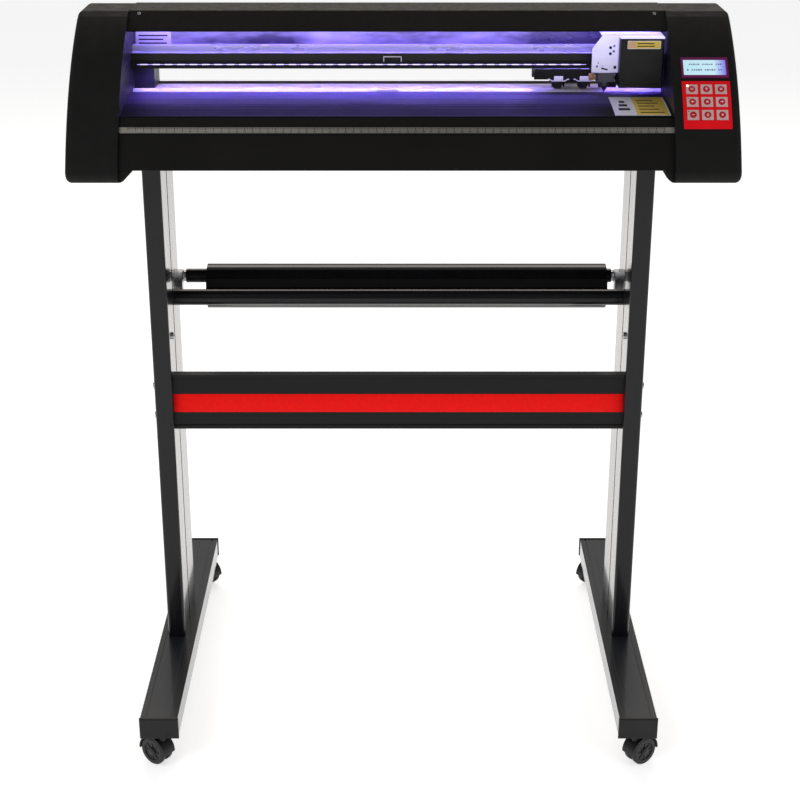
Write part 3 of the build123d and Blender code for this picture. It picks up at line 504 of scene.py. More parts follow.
def build_materials():
    m = MATERIALS
    m["cap_plastic"] = moulded_plastic("cap_plastic", (0.0085, 0.008, 0.0076), 0.62, 1100.0, 0.0002, 0.13)
    m["black_plastic"] = moulded_plastic("black_plastic", (0.007, 0.007, 0.0072), 0.46, 1300.0)
    m["hood_plastic"] = moulded_plastic("hood_plastic", (0.007, 0.007, 0.0078), 0.36, 900.0)
    m["cover_coat"] = powder_coat("cover_coat", (0.009, 0.0084, 0.0078), 0.55, gloss=0.08)
    m["bed_coat"] = bed_surface()
    m["inner_coat"] = powder_coat("inner_coat", (0.018, 0.017, 0.023), 0.4)
    m["leg_black"] = extrusion_finish("leg_black", (0.007, 0.007, 0.0085), (1, 1, 0.02), 0.28, 1.0)
    m["foot_black"] = extrusion_finish("foot_black", (0.016, 0.018, 0.022), (1, 0.02, 1), 0.3, 1.0)
    m["beam_black"] = extrusion_finish("beam_black", (0.010, 0.0097, 0.010), (0.02, 1, 1), 0.34)
    m["bar_black"] = extrusion_finish("bar_black", (0.008, 0.008, 0.0095), (0.02, 1, 1), 0.2, 0.6)
    m["steel"] = brushed("steel", (0.55, 0.55, 0.57), 0.28, (1, 0.1, 1))
    m["shaft_steel"] = brushed("shaft_steel", (0.72, 0.70, 0.78), 0.45, (1, 0.1, 0.1), 0.3)
    m["strip_steel"] = brushed("strip_steel", (0.78, 0.74, 0.82), 0.5, (0.03, 1, 1), 0.15)
    # partly painted light: the violet tint of the carriage metal stands in for the lamps' light
    m["carriage_metal"] = brushed("carriage_metal", (0.74, 0.73, 0.86), 0.42, (0.2, 1, 1), 0.35)
    m["tool_metal"] = brushed("tool_metal", (0.10, 0.095, 0.12), 0.4, (1, 1, 0.2))
    m["brass"] = brushed("brass", (0.71, 0.47, 0.22), 0.3, (1, 0.2, 0.2))
    m["rule"] = rule_metal()
    m["rubber"] = moulded_plastic("rubber", (0.012, 0.012, 0.013), 0.7, 700.0)
    m["pinch_rubber"] = moulded_plastic("pinch_rubber", (0.05, 0.047, 0.06), 0.5, 800.0)
    # partly painted light: the pale violet tint stands in for the lamps' light on the hoods
    m["pinch_grey"] = moulded_plastic("pinch_grey", (0.78, 0.75, 0.88), 0.4, 700.0)
    m["motor"] = brushed("motor", (0.08, 0.08, 0.085), 0.4, (1, 1, 0.1))
    m["board"] = powder_coat("board", (0.01, 0.09, 0.04), 0.4)
    m["cardboard"] = powder_coat("cardboard", (0.36, 0.25, 0.15), 0.85, (1, 0.2, 0.2))
    m["key_grey"] = moulded_plastic("key_grey", (0.66, 0.44, 0.42), 0.42, 600.0, 0.00004)
    m["key_disc"] = moulded_plastic("key_disc", (0.50, 0.010, 0.026), 0.35, 600.0, 0.00003)
    m["key_mark"] = printed("key_mark", (0.85, 0.55, 0.55))
    m["key_dot"] = printed("key_dot", (0.05, 0.02, 0.02))
    m["key_light"] = lamp("key_light", (1.0, 0.55, 0.2), 6.0)
    m["keypad_red"] = moulded_plastic("keypad_red", (0.86, 0.006, 0.014), 0.4, 500.0, 0.00004, 0.12)
    m["rocker_red"] = moulded_plastic("rocker_red", (0.45, 0.01, 0.01), 0.3, 500.0, 0.00003)
    m["display_frame"] = moulded_plastic("display_frame", (0.16, 0.008, 0.09), 0.3, 500.0, 0.00003)
    m["castor_tread"] = moulded_plastic("castor_tread", (0.012, 0.012, 0.015), 0.36, 500.0)
    m["rail_metal"] = rail_metal()
    # painted light: the carriage metal and the pinch hoods glow violet though they are no lamps
    lit(m["carriage_metal"], 0.18, 0.7, CARRIAGE_LO.z, CARRIAGE_HI.z)
    lit(m["pinch_grey"], 0.25, 0.5, 880.0, 890.0)
    m["vinyl_film"] = vinyl()
    m["led_top"] = lamp("led_top", (0.29, 0.21, 1.0), 44.0)
    m["led_nose"] = lamp("led_nose", (0.29, 0.21, 1.0), 12.0)
    m["led_low"] = lamp("led_low", (0.29, 0.20, 1.0), 420.0)
    # painted highlight: glow for the marks on the belt, which is no lamp
    m["belt_painted_highlight"] = lamp("belt_painted_highlight", (0.45, 0.38, 1.0), 1.6)
    m["led_base"] = printed("led_base", (0.6, 0.6, 0.62), 0.35)
    m["screen"] = screen()
    m["screen_ink"] = printed("screen_ink", (0.03, 0.05, 0.22), 0.3)
    m["rule_ink"] = printed("rule_ink", (0.012, 0.012, 0.012), 0.5)
    m["label_white"] = printed("label_white", (0.75, 0.75, 0.74), 0.45)
    m["label_yellow"] = printed("label_yellow", (0.72, 0.52, 0.10), 0.4)
    m["label_peach"] = printed("label_peach", (0.68, 0.42, 0.26), 0.4)
    m["label_ink"] = printed("label_ink", (0.03, 0.03, 0.035), 0.5)
    m["stripe_red"] = printed("stripe_red", (0.93, 0.004, 0.002), 0.5)
    m["dark"] = moulded_plastic("dark", (0.003, 0.003, 0.0032), 0.7, 900.0)


def lit(shader, low, high, z0, z1):
    """Painted violet glow: emission on a pale part that is no lamp, standing in for the lamps' light on
    it; stronger towards its top.
    """
    shader.glow((0.50, 0.44, 1.0), low)
    height = shader.remap(shader.axis("Z"), z0 * MM, z1 * MM, low, high)
    shader.links.new(height, shader.bsdf.inputs["Emission Strength"])


NODE_LOOK = {
    "cap_plastic": ["left_cap", "right_cap"],
    "black_plastic": ["extrusion_end_plugs", "carriage_cover", "socket_panel", "pinch_bracket",
                      "pinch_arm"],
    "cover_coat": ["top_cover", "rear_cover", "front_apron", "base_chassis"],
    "bed_coat": ["bed"],
    "inner_coat": ["side_frames"],
    "leg_black": ["leg_left", "leg_right"],
    "foot_black": ["foot_left", "foot_right"],
    "beam_black": ["crossbeam"],
    "bar_black": ["front_bar", "roll_rod"],
    "steel": ["stand_bolts", "motor_pinion", "drive_pulley", "idler_pulley", "roll_rod_brackets"],
    "hood_plastic": [n for n in NODES if n.startswith("castor_hood")],
    "shaft_steel": ["grit_shaft"],
    "carriage_metal": ["carriage_plate", "guide_block"],
    "tool_metal": ["tool_clamp", "blade_holder"],
    "brass": ["clamp_knob"],
    "rule": ["ruler_strip"],
    "rubber": ["drive_belt"],
    "pinch_rubber": ["pinch_wheels"],
    "motor": ["stepper_motors"],
    "board": ["circuit_boards"],
    "cardboard": ["roll_core"],
    "key_grey": ["key_%d" % i for i in range(1, 10)],
    "keypad_red": ["keypad_membrane"],
    "rocker_red": ["power_rocker"],
    "display_frame": ["lcd_module"],
    "rail_metal": ["rail"],
    "vinyl_film": ["vinyl_roll"],
    "led_top": ["led_strip"],
    "castor_tread": [n for n in NODES if n.startswith("castor_wheels")],
}
SHARP_NODES = {"left_cap", "right_cap", "grit_shaft", "motor_pinion", "clamp_knob",
               "extrusion_end_plugs", "roll_core", "vinyl_roll", "roll_rod", "front_bar",
               "led_strip", "drive_belt"}
EDGE_DEFAULT = 0.4


def dress_cad_nodes():
    """Gives every CAD node its material, smooth shading and softened edges."""
    for look, names in NODE_LOOK.items():
        for name in names:
            obj = NODES[name]
            obj.data.materials.clear()
            obj.data.materials.append(MATERIALS[look].mat)
            for face in obj.data.polygons:
                face.use_smooth = True
            soften(obj, 0.0 if name in SHARP_NODES else EDGE_DEFAULT)


# --- front: rule, display, keys ------------------------------------------------------------
RULE_TEXT = 3.6
TICK_STEP = 2.0
TICKS_PER_CM = 5
TICK_TOP = 4.2                           # above the rule's middle
WHOLE_TICK, SMALL_TICK = (3.6, 0.42), (2.2, 0.28)    # length and half width
RULE_INSET = 12.0
INK = 0.14


def make_rule():
    """Scale with a mark every 2 mm and a number at every centimetre."""
    shape = Shape()
    middle = math.degrees(math.asin(((RULE_LO.z + RULE_HI.z) / 2 - ARC_Z) / RULE_R))
    left = RULE_LO.x + RULE_INSET
    count = int((RULE_HI.x - RULE_LO.x - 2 * RULE_INSET) / TICK_STEP)
    for i in range(count + 1):
        place = arc_place(middle, RULE_R, left + i * TICK_STEP)
        whole = i % TICKS_PER_CM == 0
        length, half = WHOLE_TICK if whole else SMALL_TICK
        shape.prism(place, rounded(-half, half, TICK_TOP - length, TICK_TOP), 0.03, INK)
        if whole and i:
            shape.text(place.moved(0, -1.7), str(i // TICKS_PER_CM), RULE_TEXT, INK)
    piece("rule_scale", shape, ["rule_ink"], "machine_frame")


GLASS_ANGLES = (44.8, 48.3)              # degrees above the horizontal, as seen from the arc's centre
GLASS_HALF = 27.5
GLASS_TOP, GLASS_BOTTOM = ARC_R + 0.35, ARC_R - 0.2
SEGMENT_PITCH = 2.9
SEGMENT_HALF = 0.9
SEGMENT_ROWS = (47.3, 46.0)             # degrees
SEGMENT_START = 22.0                    # left of the panel's middle


def arc_point(angle, radius):
    """Y and Z of a point on the curved front."""
    a = math.radians(angle)
    return (ARC_Y - radius * math.cos(a), ARC_Z + radius * math.sin(a))


def make_display():
    """Curved display glass with two rows of dark segments."""
    low, high = GLASS_ANGLES
    steps = 8
    angles = [low + (high - low) * i / steps for i in range(steps + 1)]
    front = [arc_point(angle, GLASS_TOP) for angle in angles]
    back = [arc_point(angle, GLASS_BOTTOM) for angle in angles]
    shape = Shape()
    shape.prism(end_view(PANEL_X), front + back[::-1], -GLASS_HALF, GLASS_HALF, 0)
    for row, angle in enumerate(SEGMENT_ROWS):
        for column in range(16):
            gap = (column * 7 + row * 5) % 6 == 0
            if gap:
                continue
            place = arc_place(angle, GLASS_TOP, PANEL_X - SEGMENT_START + column * SEGMENT_PITCH)
            height = random.uniform(1.4, 2.6)
            shape.prism(place, rounded(-SEGMENT_HALF, SEGMENT_HALF, -height / 2, height / 2),
                        0.0, 0.08, 1)
    piece("display_glass", shape, ["screen", "screen_ink"], "machine_frame")


def arrow(turn):
    """Arrow outline that points along +v before it is turned, in degrees."""
    points = [(-0.5, -2.0), (0.5, -2.0), (0.5, 0.2), (1.9, 0.2), (0.0, 2.2), (-1.9, 0.2), (-0.5, 0.2)]
    a = math.radians(turn)
    return [(u * math.cos(a) - v * math.sin(a), u * math.sin(a) + v * math.cos(a))
            for u, v in points]


def bar(u, v, width, height):
    return rounded(u - width / 2, u + width / 2, v - height / 2, v + height / 2)


KEY_TOP = ARC_R + 1.4
KEY_MARKS = {
    1: [bar(-1.1, 0, 0.9, 3.0), bar(1.1, 0, 0.9, 3.0)],
    2: [arrow(0)],
    3: [bar(0, 1.2, 3.2, 0.8), bar(0, 0, 3.2, 0.8), bar(0, -1.2, 3.2, 0.8)],
    4: [arrow(90)],
    5: [circle(1.5, 18)],
    6: [arrow(-90)],
    7: [bar(0, 0, 3.2, 0.9)],
    8: [arrow(180)],
    9: [bar(0, 0, 2.4, 2.4)],
}


def make_keys():
    """A domed disc with a plain sign on every key, and the first key's lamp."""
    for number, marks in KEY_MARKS.items():
        node = "key_%d" % number
        low, high = box_mm(node)
        middle = (low + high) / 2
        angle = math.degrees(math.atan2(middle.z - ARC_Z, ARC_Y - middle.y))
        place = arc_place(angle, KEY_TOP, middle.x)
        shape = Shape()
        shape.lathe(place, [(4.5, -0.1), (4.5, 0.22), (4.1, 0.45), (2.6, 0.6), (0.02, 0.66)], 0, 32)
        for outline in marks:
            shape.prism(place, outline, 0.4, 0.85, 1)
        corner = place.moved(-5.6, 4.9)
        if number == 1:
            shape.lathe(corner, [(1.15, -0.1), (1.15, 0.3), (0.7, 0.65), (0.02, 0.75)], 2, 16)
        elif number in (4, 7):
            shape.lathe(corner, [(0.7, -0.1), (0.7, 0.12), (0.4, 0.2), (0.02, 0.2)], 3, 12)
        piece(node + "_face", shape, ["key_disc", "key_mark", "key_light", "key_dot"], node)


# --- head: lights, labels and fittings ------------------------------------------------------
LED_PITCH = 16.67
TAPE_INSET = 10.0
TAPE_X = (BED_LO.x + TAPE_INSET, BED_HI.x - TAPE_INSET)
NOSE_SLOPE = (0, 0.817, 0.576)           # up the top cover's sloping nose
NOSE_TAPE = (0, 40.9, 959.0)             # under the nose
NOSE_SCREWS = (0, 50.0, 968.5)           # on the nose


def lamp_places():
    """X of every lamp along a tape."""
    x0, x1 = TAPE_X
    count = int((x1 - x0) / LED_PITCH)
    return [x0 + (i + 0.5) * (x1 - x0) / count for i in range(count)]


def make_nose_lights():
    """Tape of lamps under the cover's nose, facing back and down."""
    x0, x1 = TAPE_X
    nose = Place(NOSE_TAPE, (-1, 0, 0), NOSE_SLOPE)
    width, lamp_long = 7.0, 5.0
    shape = Shape()
    shape.prism(nose, rounded(-x1, -x0, -width / 2, width / 2), 0.1, 0.5, 0)
    for x in reversed(lamp_places()):
        shape.prism(nose, rounded(-x - lamp_long / 2, -x + lamp_long / 2,
                                  -width * 0.36, width * 0.36, 0.3), 0.4, 1.3, 1)
    piece("led_tape_nose", shape, ["led_base", "led_nose"], "machine_frame")


def make_rail_lights():
    """Tape of lamps facing down under the rail, hidden behind its carrier's lip."""
    x0, x1 = TAPE_X
    y1 = RAIL_LO.y - 0.05
    z0 = RAIL_LO.z + 0.1
    lamp_half = 6.5
    shape = Shape()
    shape.block((x0, y1 - 1.5, z0 + 0.5), (x1, y1, z0 + 2.4), 0)
    shape.block((x0, y1 - 1.6, z0 - 0.3), (x1, y1 - 1.3, z0 + 2.0), 0)
    for x in lamp_places():
        shape.block((x - lamp_half, y1 - 1.1, z0 + 0.1), (x + lamp_half, y1 - 0.1, z0 + 0.52), 1)
    piece("led_tape_rail", shape, ["hood_plastic", "led_low"], "machine_frame")


HIGHLIGHT_Z = (900.9, 902.2)                  # the belt's front run, as seen under the rail's edge, where the painted highlights lie
HIGHLIGHT_LONG = 10.5


def make_belt_highlights():
    """Painted highlights: glowing marks on a thin glowing line along the belt's front run, up to the
    parked carriage; the belt is no lamp.
    """
    face = Place((0, box_mm("drive_belt")[0].y, 0))
    start = BED_LO.x + 12.0
    end = CARRIAGE_LO.x - 4.0
    shape = Shape()
    for i in range(int((end - start) / LED_PITCH)):
        x = start + i * LED_PITCH
        shape.prism(face, rounded(x, x + HIGHLIGHT_LONG, HIGHLIGHT_Z[0], HIGHLIGHT_Z[1], 0.5), -0.1, 0.25)
    middle = sum(HIGHLIGHT_Z) / 2
    shape.prism(face, rounded(start - 4, end, middle - 0.25, middle + 0.25), -0.05, 0.1)
    piece("belt_painted_highlights", shape, ["belt_painted_highlight"], "machine_frame")


def label(name, place, width, height, looks, body, lines=0, split=0.0):
    """Printed plate: a border, a field and plain bars where print would be."""
    shape = Shape()
    shape.prism(place, rounded(0, width, 0, height, 1.0), 0.0, 0.15, 0)
    shape.prism(place, rounded(0.8, width - 0.8, 0.8, height - 0.8, 0.6), 0.1, 0.22, 1)
    if split:
        shape.prism(place, rounded(0.8, split, 0.8, height - 0.8), 0.1, 0.26, 2)
    step = height / (lines + 1)
    for i in range(lines):
        v = (i + 1) * step
        end = width - 3.0 - random.uniform(0, width * 0.2)
        shape.prism(place, rounded(max(split, 2.0) + 1.6, end, v - step * 0.18, v + step * 0.18),
                    0.2, 0.3, 3)
    piece(name, shape, looks, body)


def make_labels():
    label("web_label", Place((BED_LO.x + 1.5, RAIL_HI.y - 3.0, 917.2)), 48.0, 20.5,
          ["label_white", "label_white", "label_white", "label_ink"], "machine_frame", 3)
    label("carriage_label", Place((HOOD_LO.x + 9.0, HOOD_LO.y, 930.8)), 43.5, 10.6,
          ["label_white", "label_yellow", "label_peach", "label_ink"], "carriage", 2, 11.0)
    bed_label()


BED_LABEL_X = (274.0, 303.0, 346.0)      # left edge, where its two colours meet, right edge
BED_LABEL_Y = (-70.0, 14.0)
FOLD_Y, FRONT_Y = -24.0, -73.6           # the bed's slope changes at the fold
FOLD_Z, FRONT_Z = 862.0, 857.0


def bed_z(y):
    """Height of the bed's surface in front of the shaft."""
    if y < FOLD_Y:
        return FRONT_Z + (y - FRONT_Y) / (FOLD_Y - FRONT_Y) * (FOLD_Z - FRONT_Z)
    return FOLD_Z + (y - FOLD_Y) / 66.5 * 3.0


def bed_label():
    """Two-tone plate that follows the bed's slope, with plain bars."""
    shape = Shape()
    x0, split, x1 = BED_LABEL_X
    front, back = BED_LABEL_Y

    def strip(left, right, y0, y1, high, look):
        path = [(y, bed_z(y)) for y in (y0, FOLD_Y, y1)]
        outline = path + [(y, z + high) for y, z in reversed(path)]
        shape.prism(end_view(0), outline, left, right, look)

    strip(x0, x1, front, back, 0.25, 0)
    strip(split, x1 - 1.5, front + 1.5, back - 1.5, 0.35, 1)
    for i in range(5):
        y = front + 12.0 + i * 13.0
        z = bed_z(y) + 0.3
        right = x1 - 7.0 - (i * 5) % 11
        shape.block((split + 5.0, y - 1.5, z - 0.4), (right, y + 1.5, z + 0.35), 2)
    for i in range(3):
        y = front + 26.0 + i * 16.0
        z = bed_z(y) + 0.2
        inset = 7.0 + i * 2
        shape.block((x0 + inset, y - 5.0, z - 0.6), (split - inset, y + 5.0, z + 0.5), 2)
    piece("bed_label", shape, ["label_white", "label_yellow", "label_ink"], "machine_frame")


STRIPE_Z = (429.9, 457.1)


def make_stripe():
    """Red band along the crossbeam's field."""
    field = Place((0, BEAM_LO.y + 1.5, 0))
    shape = Shape()
    shape.prism(field, rounded(BEAM_LO.x + 0.5, BEAM_HI.x - 0.5, *STRIPE_Z), 0.0, 0.25)
    piece("crossbeam_stripe", shape, ["stripe_red"], "machine_frame", 0.1)


FITTING_X = (BED_LO.x + 8.0, BED_HI.x - 8.0)   # the span of the strip and lip behind the shaft
PLATEN = (0, 62.2, 865.35)               # front edge of the strip
PLATEN_SLOPE = (0, 38.5, 0.7)
PLATEN_BANDS = ((0.0, 22.5), (23.6, 29.5))
PLATEN_SCREWS = 7
LIP = [(98.0, 865.6), (107.5, 864.4), (107.0, 866.9), (105.4, 867.7), (100.6, 867.9), (98.4, 867.2)]
SKIRT = [(92.6, 865.9), (98.2, 865.9), (98.2, 866.5), (92.9, 866.3)]
SADDLE_X, SADDLE_HALF, SADDLE_BAR = -21.0, 15.0, 2.6
SADDLE_Y = (42.8, 45.4, 58.6, 61.0)      # front wall, then back wall
CLIP_X, CLIP_Z = -14.5, 901.4


def make_platen_strip():
    """Steel strip in two bands behind the shaft, with a row of screws."""
    plate = Place(PLATEN, (1, 0, 0), PLATEN_SLOPE)
    shape = Shape()
    for v0, v1 in PLATEN_BANDS:
        shape.prism(plate, rounded(*FITTING_X, v0, v1), 0.0, 0.3, 0)
    first, last = BED_LO.x + 40, BED_HI.x - 40
    for i in range(PLATEN_SCREWS):
        x = first + i * (last - first) / (PLATEN_SCREWS - 1)
        shape.screw(plate.moved(x, 11.0, 0.3), 2.4, 0, 1, 0.7)
    piece("platen_strip", shape, ["strip_steel", "dark"], "machine_frame", 0.08)


def make_rear_lip():
    """Rubber lip along the bed's rear edge."""
    shape = Shape()
    for outline in (LIP, SKIRT):
        shape.prism(end_view(0), outline, *FITTING_X)
    piece("bed_rear_lip", shape, ["rubber"], "machine_frame", 0.3)


def make_shaft_saddle():
    """Pale saddle with a bar on each side of the grit shaft."""
    shape = Shape()
    left, right = SADDLE_X - SADDLE_HALF, SADDLE_X + SADDLE_HALF
    front, front_in, back_in, back = SADDLE_Y
    for y0, y1 in ((front, front_in), (back_in, back)):
        shape.block((left, y0, 863.6), (right, y1, 867.9))
    for x in (left, right - SADDLE_BAR):
        shape.block((x, front, 864.6), (x + SADDLE_BAR, back, 865.2))
    piece("shaft_saddle", shape, ["led_base"], "machine_frame", 0.4)


def make_rail_clip():
    """Open wire-like frame clipped to the rail's front."""
    front = Place((CLIP_X, RAIL_LO.y, CLIP_Z))
    half, high, wire, thick = 12.5, 10.8, 1.4, 0.9
    shape = Shape()
    for outline in (rounded(-half, half, 0.0, wire), rounded(-half, wire - half, 0.0, high),
                    rounded(half - wire, half, 0.0, high), rounded(-half, half, high - wire, high)):
        shape.prism(front, outline, 0.0, thick)
    piece("rail_clip", shape, ["strip_steel"], "machine_frame", 0.2)


def make_cap_lips():
    """Moulded lips that carry the end caps' undersides in below the chassis."""
    under = box_mm("base_chassis")[0].z - 0.2
    low = box_mm("left_cap")[0].z + 0.3
    for name, x, side, reach in (("left", box_mm("left_cap")[1].x, 1, 19.6),
                                 ("right", box_mm("right_cap")[0].x, -1, 14.6)):
        shape = Shape()
        across = Place((x, 0, 0), (side, 0, 0), (0, 0, 1))
        outline = [(0.0, low), (3.0, low + 0.4), (7.0, low + 3.2), (11.0, low + 7.6),
                   (reach - 2.0, under - 2.6), (reach, under), (0.0, under)]
        span = (-100.0, 110.0) if side > 0 else (-110.0, 100.0)
        shape.prism(across, outline, *span)
        piece("cap_lip_" + name, shape, ["cap_plastic"], "machine_frame", 0.8)


def make_cover_screws():
    """Screws on the top cover's nose and along both edges of the rear cover."""
    shape = Shape()
    nose = Place(NOSE_SCREWS, (1, 0, 0), NOSE_SLOPE)
    for x in (COVER_LO.x + 14.0, COVER_HI.x - 14.0):
        shape.screw(nose.moved(x, 0), 2.4, 2)
    back = Place((0, REAR_HI.y, 0), (-1, 0, 0), (0, 0, 1))
    count = 6
    first, last = REAR_LO.x + 20, REAR_HI.x - 20
    for i in range(count):
        x = first + i * (last - first) / (count - 1)
        for z in (REAR_LO.z + 8, COVER_LO.z + 9):
            shape.screw(back.moved(-x, z), 2.6)
    piece("cover_screws", shape, ["hood_plastic", "dark", "steel"], "machine_frame")


# --- carriage and pinch rollers -------------------------------------------------------------
PLATE_Y = 12.0                           # the carriage plate's front face
GUARD_Y = 34.7
BLADE_TOP = (269.0, 24.0, 936.0)
PLATE_SCREWS = ((273.9, 930.0, 1.9), (274.0, 922.1, 1.9), (281.0, 904.1, 2.2))   # X, Z, radius
PLATE_STUDS = ((258.7, 909.9, 1.7), (263.9, 906.0, 1.7))
PLATE_FOOT_Z = 897.4                     # lower end of the rim and side flange


def make_plate_fittings():
    """Screws, a pressed slot drawn as a flat dark patch of painted shade, a bent rim and a side flange on
    the carriage plate.
    """
    face = Place((0, PLATE_Y, 0))
    shape = Shape()
    for x, z, radius in PLATE_SCREWS:
        shape.screw(face.moved(x, z), radius, 1, 1, 0.8)
    for x, z, radius in PLATE_STUDS:
        shape.screw(face.moved(x, z), radius, 0, 1, 1.0)
    # painted shade: a flat dark patch stands in for the pressed slot's shade
    slot = face.moved(267.0, 901.8).turned(-14)
    shape.prism(slot, rounded(-4.6, 4.6, -1.0, 1.0, 0.9), 0.0, 0.12, 1)
    rim = ribbon([(250.3, 897.8), (262.0, 897.6), (284.6, 897.8)], 1.4)
    shape.prism(face, rim, 0.0, 1.0, 0)
    shape.prism(face, rounded(282.4, 285.0, PLATE_FOOT_Z, 944.0, 0.5), 0.0, 2.2, 0)
    piece("carriage_fittings", shape, ["carriage_metal", "dark"], "carriage", 0.15)


def make_hood_trim():
    """Bead and two screws low on the carriage cover's front."""
    hood = Place((0, HOOD_LO.y, 0))
    shape = Shape()
    shape.prism(hood, rounded(HOOD_LO.x + 4, HOOD_HI.x - 4, 885.0, 886.2), 0.0, 0.5, 0)
    for x in (HOOD_LO.x + 5, HOOD_HI.x - 5):
        shape.screw(hood.moved(x, 891.0), 1.8)
    piece("carriage_hood_trim", shape, ["hood_plastic", "dark"], "carriage", 0.1)


def make_guard():
    """Thin plate with two screws beside the blade holder."""
    guard = Place((0, GUARD_Y, 0))
    thick = 0.6
    shape = Shape()
    shape.prism(guard, rounded(262.0, HOOD_LO.x + 1.0, 873.0, 898.0, 1.5), 0.0, thick, 0)
    for z in (882.0, 890.0):
        shape.screw(guard.moved(283.2, z, thick - 0.1), 1.6, 1, 0, 0.8)
    piece("carriage_guard", shape, ["black_plastic", "carriage_metal"], "carriage",
          0.1)


def make_blade_cap():
    """Stepped brass cap on top of the blade holder."""
    shape = Shape()
    shape.lathe(Place(BLADE_TOP, (1, 0, 0), (0, 1, 0)),
                [(5.4, -0.2), (5.4, 0.6), (4.4, 1.4), (2.6, 1.6), (2.4, 2.6), (0.02, 2.8)])
    piece("blade_holder_cap", shape, ["brass"], "tool_lift", 0.1)


HOOD_OUTLINE = [(37.6, 880.0), (37.6, 886.6), (37.1, 887.4), (36.7, 886.9), (36.35, 885.4),
                (36.3, 883.0), (36.6, 880.6)]
CHEEK_OUTLINE = [(36.3, 880.8), (36.8, 873.0), (48.6, 872.6), (48.6, 876.6), (37.7, 876.9),
                 (37.7, 881.4)]
WING_PATH = [(5.5, -0.9), (8.0, -1.3), (10.5, 0.1), (12.6, 1.5), (14.2, 1.1)]


def make_pinch_hoods():
    """A ribbed hood with two bent wings and two cheeks in front of each pinch wheel."""
    shape = Shape()
    for x in WHEEL_X:
        hood = end_view(x)
        shape.prism(hood, HOOD_OUTLINE, -6.0, 6.0, 0)
        rib_outline = [(u - 0.03, v + 0.3) for u, v in HOOD_OUTLINE[2:]] + [(37.4, 881.0)]
        for i in range(5):
            rib = -4.8 + i * 2.4
            shape.prism(hood, rib_outline, rib - 0.5, rib + 0.5, 0)
        wing = Place((x, 37.9, 882.0))
        for side in (-1, 1):
            path = [(side * u, v) for u, v in WING_PATH][::side]
            shape.prism(wing, ribbon(path, 1.3), 0.2, 1.6, 0)
        for side in (-1, 1):
            shape.prism(end_view(x + side * 7.3), CHEEK_OUTLINE, -1.0, 1.0, 1)
    piece("pinch_hoods", shape, ["pinch_grey", "black_plastic"], "pinch_arm",
          0.25)


def make_pinch_wheel_ribs():
    """Fine ribs round both pinch wheels."""
    wheel_y = (WHEELS_LO.y + WHEELS_HI.y) / 2
    wheel_z = (WHEELS_LO.z + WHEELS_HI.z) / 2
    rib_radius, ribs = 9.35, 18
    shape = Shape()
    for x in WHEEL_X:
        side = Place((x, wheel_y, wheel_z), (0, 1, 0), (0, 0, 1))
        for i in range(ribs):
            a = 2 * math.pi * i / ribs
            spot = side.moved(rib_radius * math.cos(a), rib_radius * math.sin(a))
            shape.prism(spot.turned(math.degrees(a)), rounded(-0.3, 0.3, -0.45, 0.45), -4.0, 4.0)
    piece("pinch_wheel_ribs", shape, ["pinch_rubber"], "pinch_wheels")


# --- stand ----------------------------------------------------------------------------------
NUT_INSET, NUT_R, NUT_LONG = 8.2, 8.2, 3.4
HUB_OUT = 9.3                            # from the castor's middle to a wheel's outer face
SPOKES = 8
HUB = [(5.6, 0.9), (5.6, 1.5), (4.6, 2.0), (2.0, 2.3), (0.02, 2.3)]
RIM_RING = [(13.5, 0.0), (13.5, 0.75), (12.6, 0.75), (12.6, 0.0)]


def make_rod_nuts():
    """Hexagon nuts and washers at both ends of the turning rod."""
    shape = Shape()
    y, z = (ROD_LO.y + ROD_HI.y) / 2, (ROD_LO.z + ROD_HI.z) / 2
    for x, side in ((ROD_LO.x + NUT_INSET, 1), (ROD_HI.x - NUT_INSET, -1)):
        end = Place((x, y, z), (0, side, 0), (0, 0, 1))
        shape.prism(end, circle(NUT_R, 6), 0.0, NUT_LONG, 0)
        shape.lathe(end, [(9.3, -0.9), (9.3, 0.0), (8.0, 0.1)], 0, 28)
    piece("rod_nuts", shape, ["steel"], "roll_rod", 0.3)


def make_castor_fittings():
    """Hub cap, spokes and rim ring on the outer face of every castor wheel."""
    for name in ("front_left", "front_right", "rear_left", "rear_right"):
        joint = JOINTS["castor_roll_" + name]
        centre = Vector(joint["pos_m"]) / MM
        axis = Vector(joint["axis"]).normalized()
        shape = Shape()
        for sign in (-1, 1):
            out = axis * sign
            face = Place(centre + out * HUB_OUT, Vector((0, 0, 1)).cross(out), (0, 0, 1))
            shape.lathe(face, HUB, 0, 28)
            for i in range(SPOKES):
                spoke = face.turned(i * 360.0 / SPOKES)
                shape.prism(spoke, rounded(5.6, 13.4, -0.7, 0.7), -0.1, 0.8, 0)
            shape.lathe(face, RIM_RING, 0, 36)
        piece("castor_hubs_" + name, shape, ["hood_plastic"], "castor_wheels_" + name,
              0.2)


# --- stage ----------------------------------------------------------------------------------
FLOOR_HALF = 30.0                        # metres


def make_stage():
    """A wide pale floor that glows enough to look white."""
    size = FLOOR_HALF
    mesh = bpy.data.meshes.new("floor")
    mesh.from_pydata([(-size, -size, 0), (size, -size, 0), (size, size, 0), (-size, size, 0)],
                     [], [(0, 1, 2, 3)])
    floor = bpy.data.objects.new("floor", mesh)
    bpy.context.scene.collection.objects.link(floor)
    s = Shader("floor_pale", (0.86, 0.86, 0.865), 0.75)
    s.shade(s.noise(0.8, 3.0), 0.012)
    s.glow((1.0, 1.0, 1.0), 0.62)
    mesh.materials.append(s.mat)


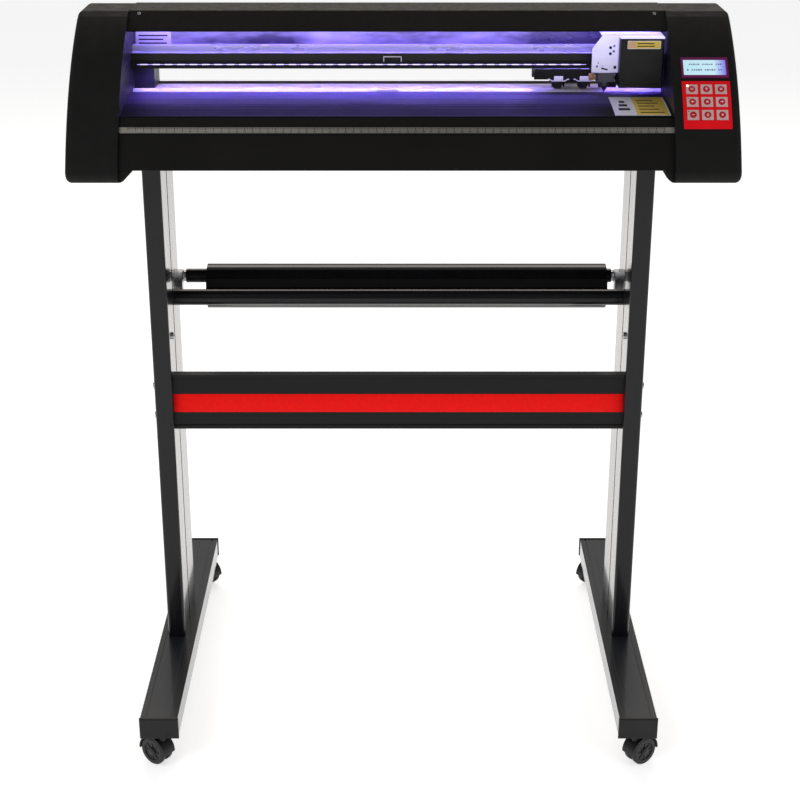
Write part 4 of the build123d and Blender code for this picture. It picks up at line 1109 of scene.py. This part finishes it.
def area_light(name, place, target, size, power, color=(1, 1, 1)):
    data = bpy.data.lights.new(name, "AREA")
    data.shape = "RECTANGLE"
    data.size, data.size_y = size
    data.energy = power
    data.color = color
    light = bpy.data.objects.new(name, data)
    bpy.context.scene.collection.objects.link(light)
    light.location = place
    aim = Vector(target) - Vector(place)
    light.rotation_euler = aim.to_track_quat("-Z", "Y").to_euler()


WORLD_FRONT, WORLD_BACK = 0.14, 0.5      # strength behind the camera and behind the object
WORLD_TURN = (-0.35, 0.45)               # Y of the view direction where it starts and ends to rise


def make_lights():
    """A studio that is dim behind the camera and white behind the object."""
    world = bpy.data.worlds.new("studio")
    bpy.context.scene.world = world
    world.use_nodes = True
    nodes, links = world.node_tree.nodes, world.node_tree.links
    back = nodes["Background"]
    back.inputs["Color"].default_value = (1.0, 1.0, 1.0, 1.0)
    coord = nodes.new("ShaderNodeTexCoord")
    split = nodes.new("ShaderNodeSeparateXYZ")
    ramp = nodes.new("ShaderNodeMapRange")
    ramp.inputs["From Min"].default_value = WORLD_TURN[0]
    ramp.inputs["From Max"].default_value = WORLD_TURN[1]
    ramp.inputs["To Min"].default_value = WORLD_FRONT
    ramp.inputs["To Max"].default_value = WORLD_BACK
    links.new(coord.outputs["Generated"], split.inputs["Vector"])
    links.new(split.outputs["Y"], ramp.inputs["Value"])
    links.new(ramp.outputs["Result"], back.inputs["Strength"])
    area_light("key", (-2.2, -2.6, 3.2), (0, 0, 0.6), (2.2, 1.6), 40.0)
    area_light("fill", (2.6, -2.2, 2.2), (0, 0, 0.6), (2.0, 2.0), 22.0)
    area_light("back", (0.0, 2.6, 2.8), (0, 0, 0.7), (3.0, 1.2), 40.0, (1.0, 0.9, 0.8))


make_camera()
build_materials()
dress_cad_nodes()
make_rule()
make_display()
make_keys()
make_nose_lights()
make_rail_lights()
make_belt_highlights()
make_labels()
make_stripe()
make_platen_strip()
make_rear_lip()
make_shaft_saddle()
make_rail_clip()
make_cover_screws()
make_cap_lips()
make_plate_fittings()
make_hood_trim()
make_guard()
make_blade_cap()
make_pinch_hoods()
make_pinch_wheel_ribs()
make_rod_nuts()
make_castor_fittings()
make_stage()
make_lights()
bpy.context.scene.view_settings.view_transform = "Standard"
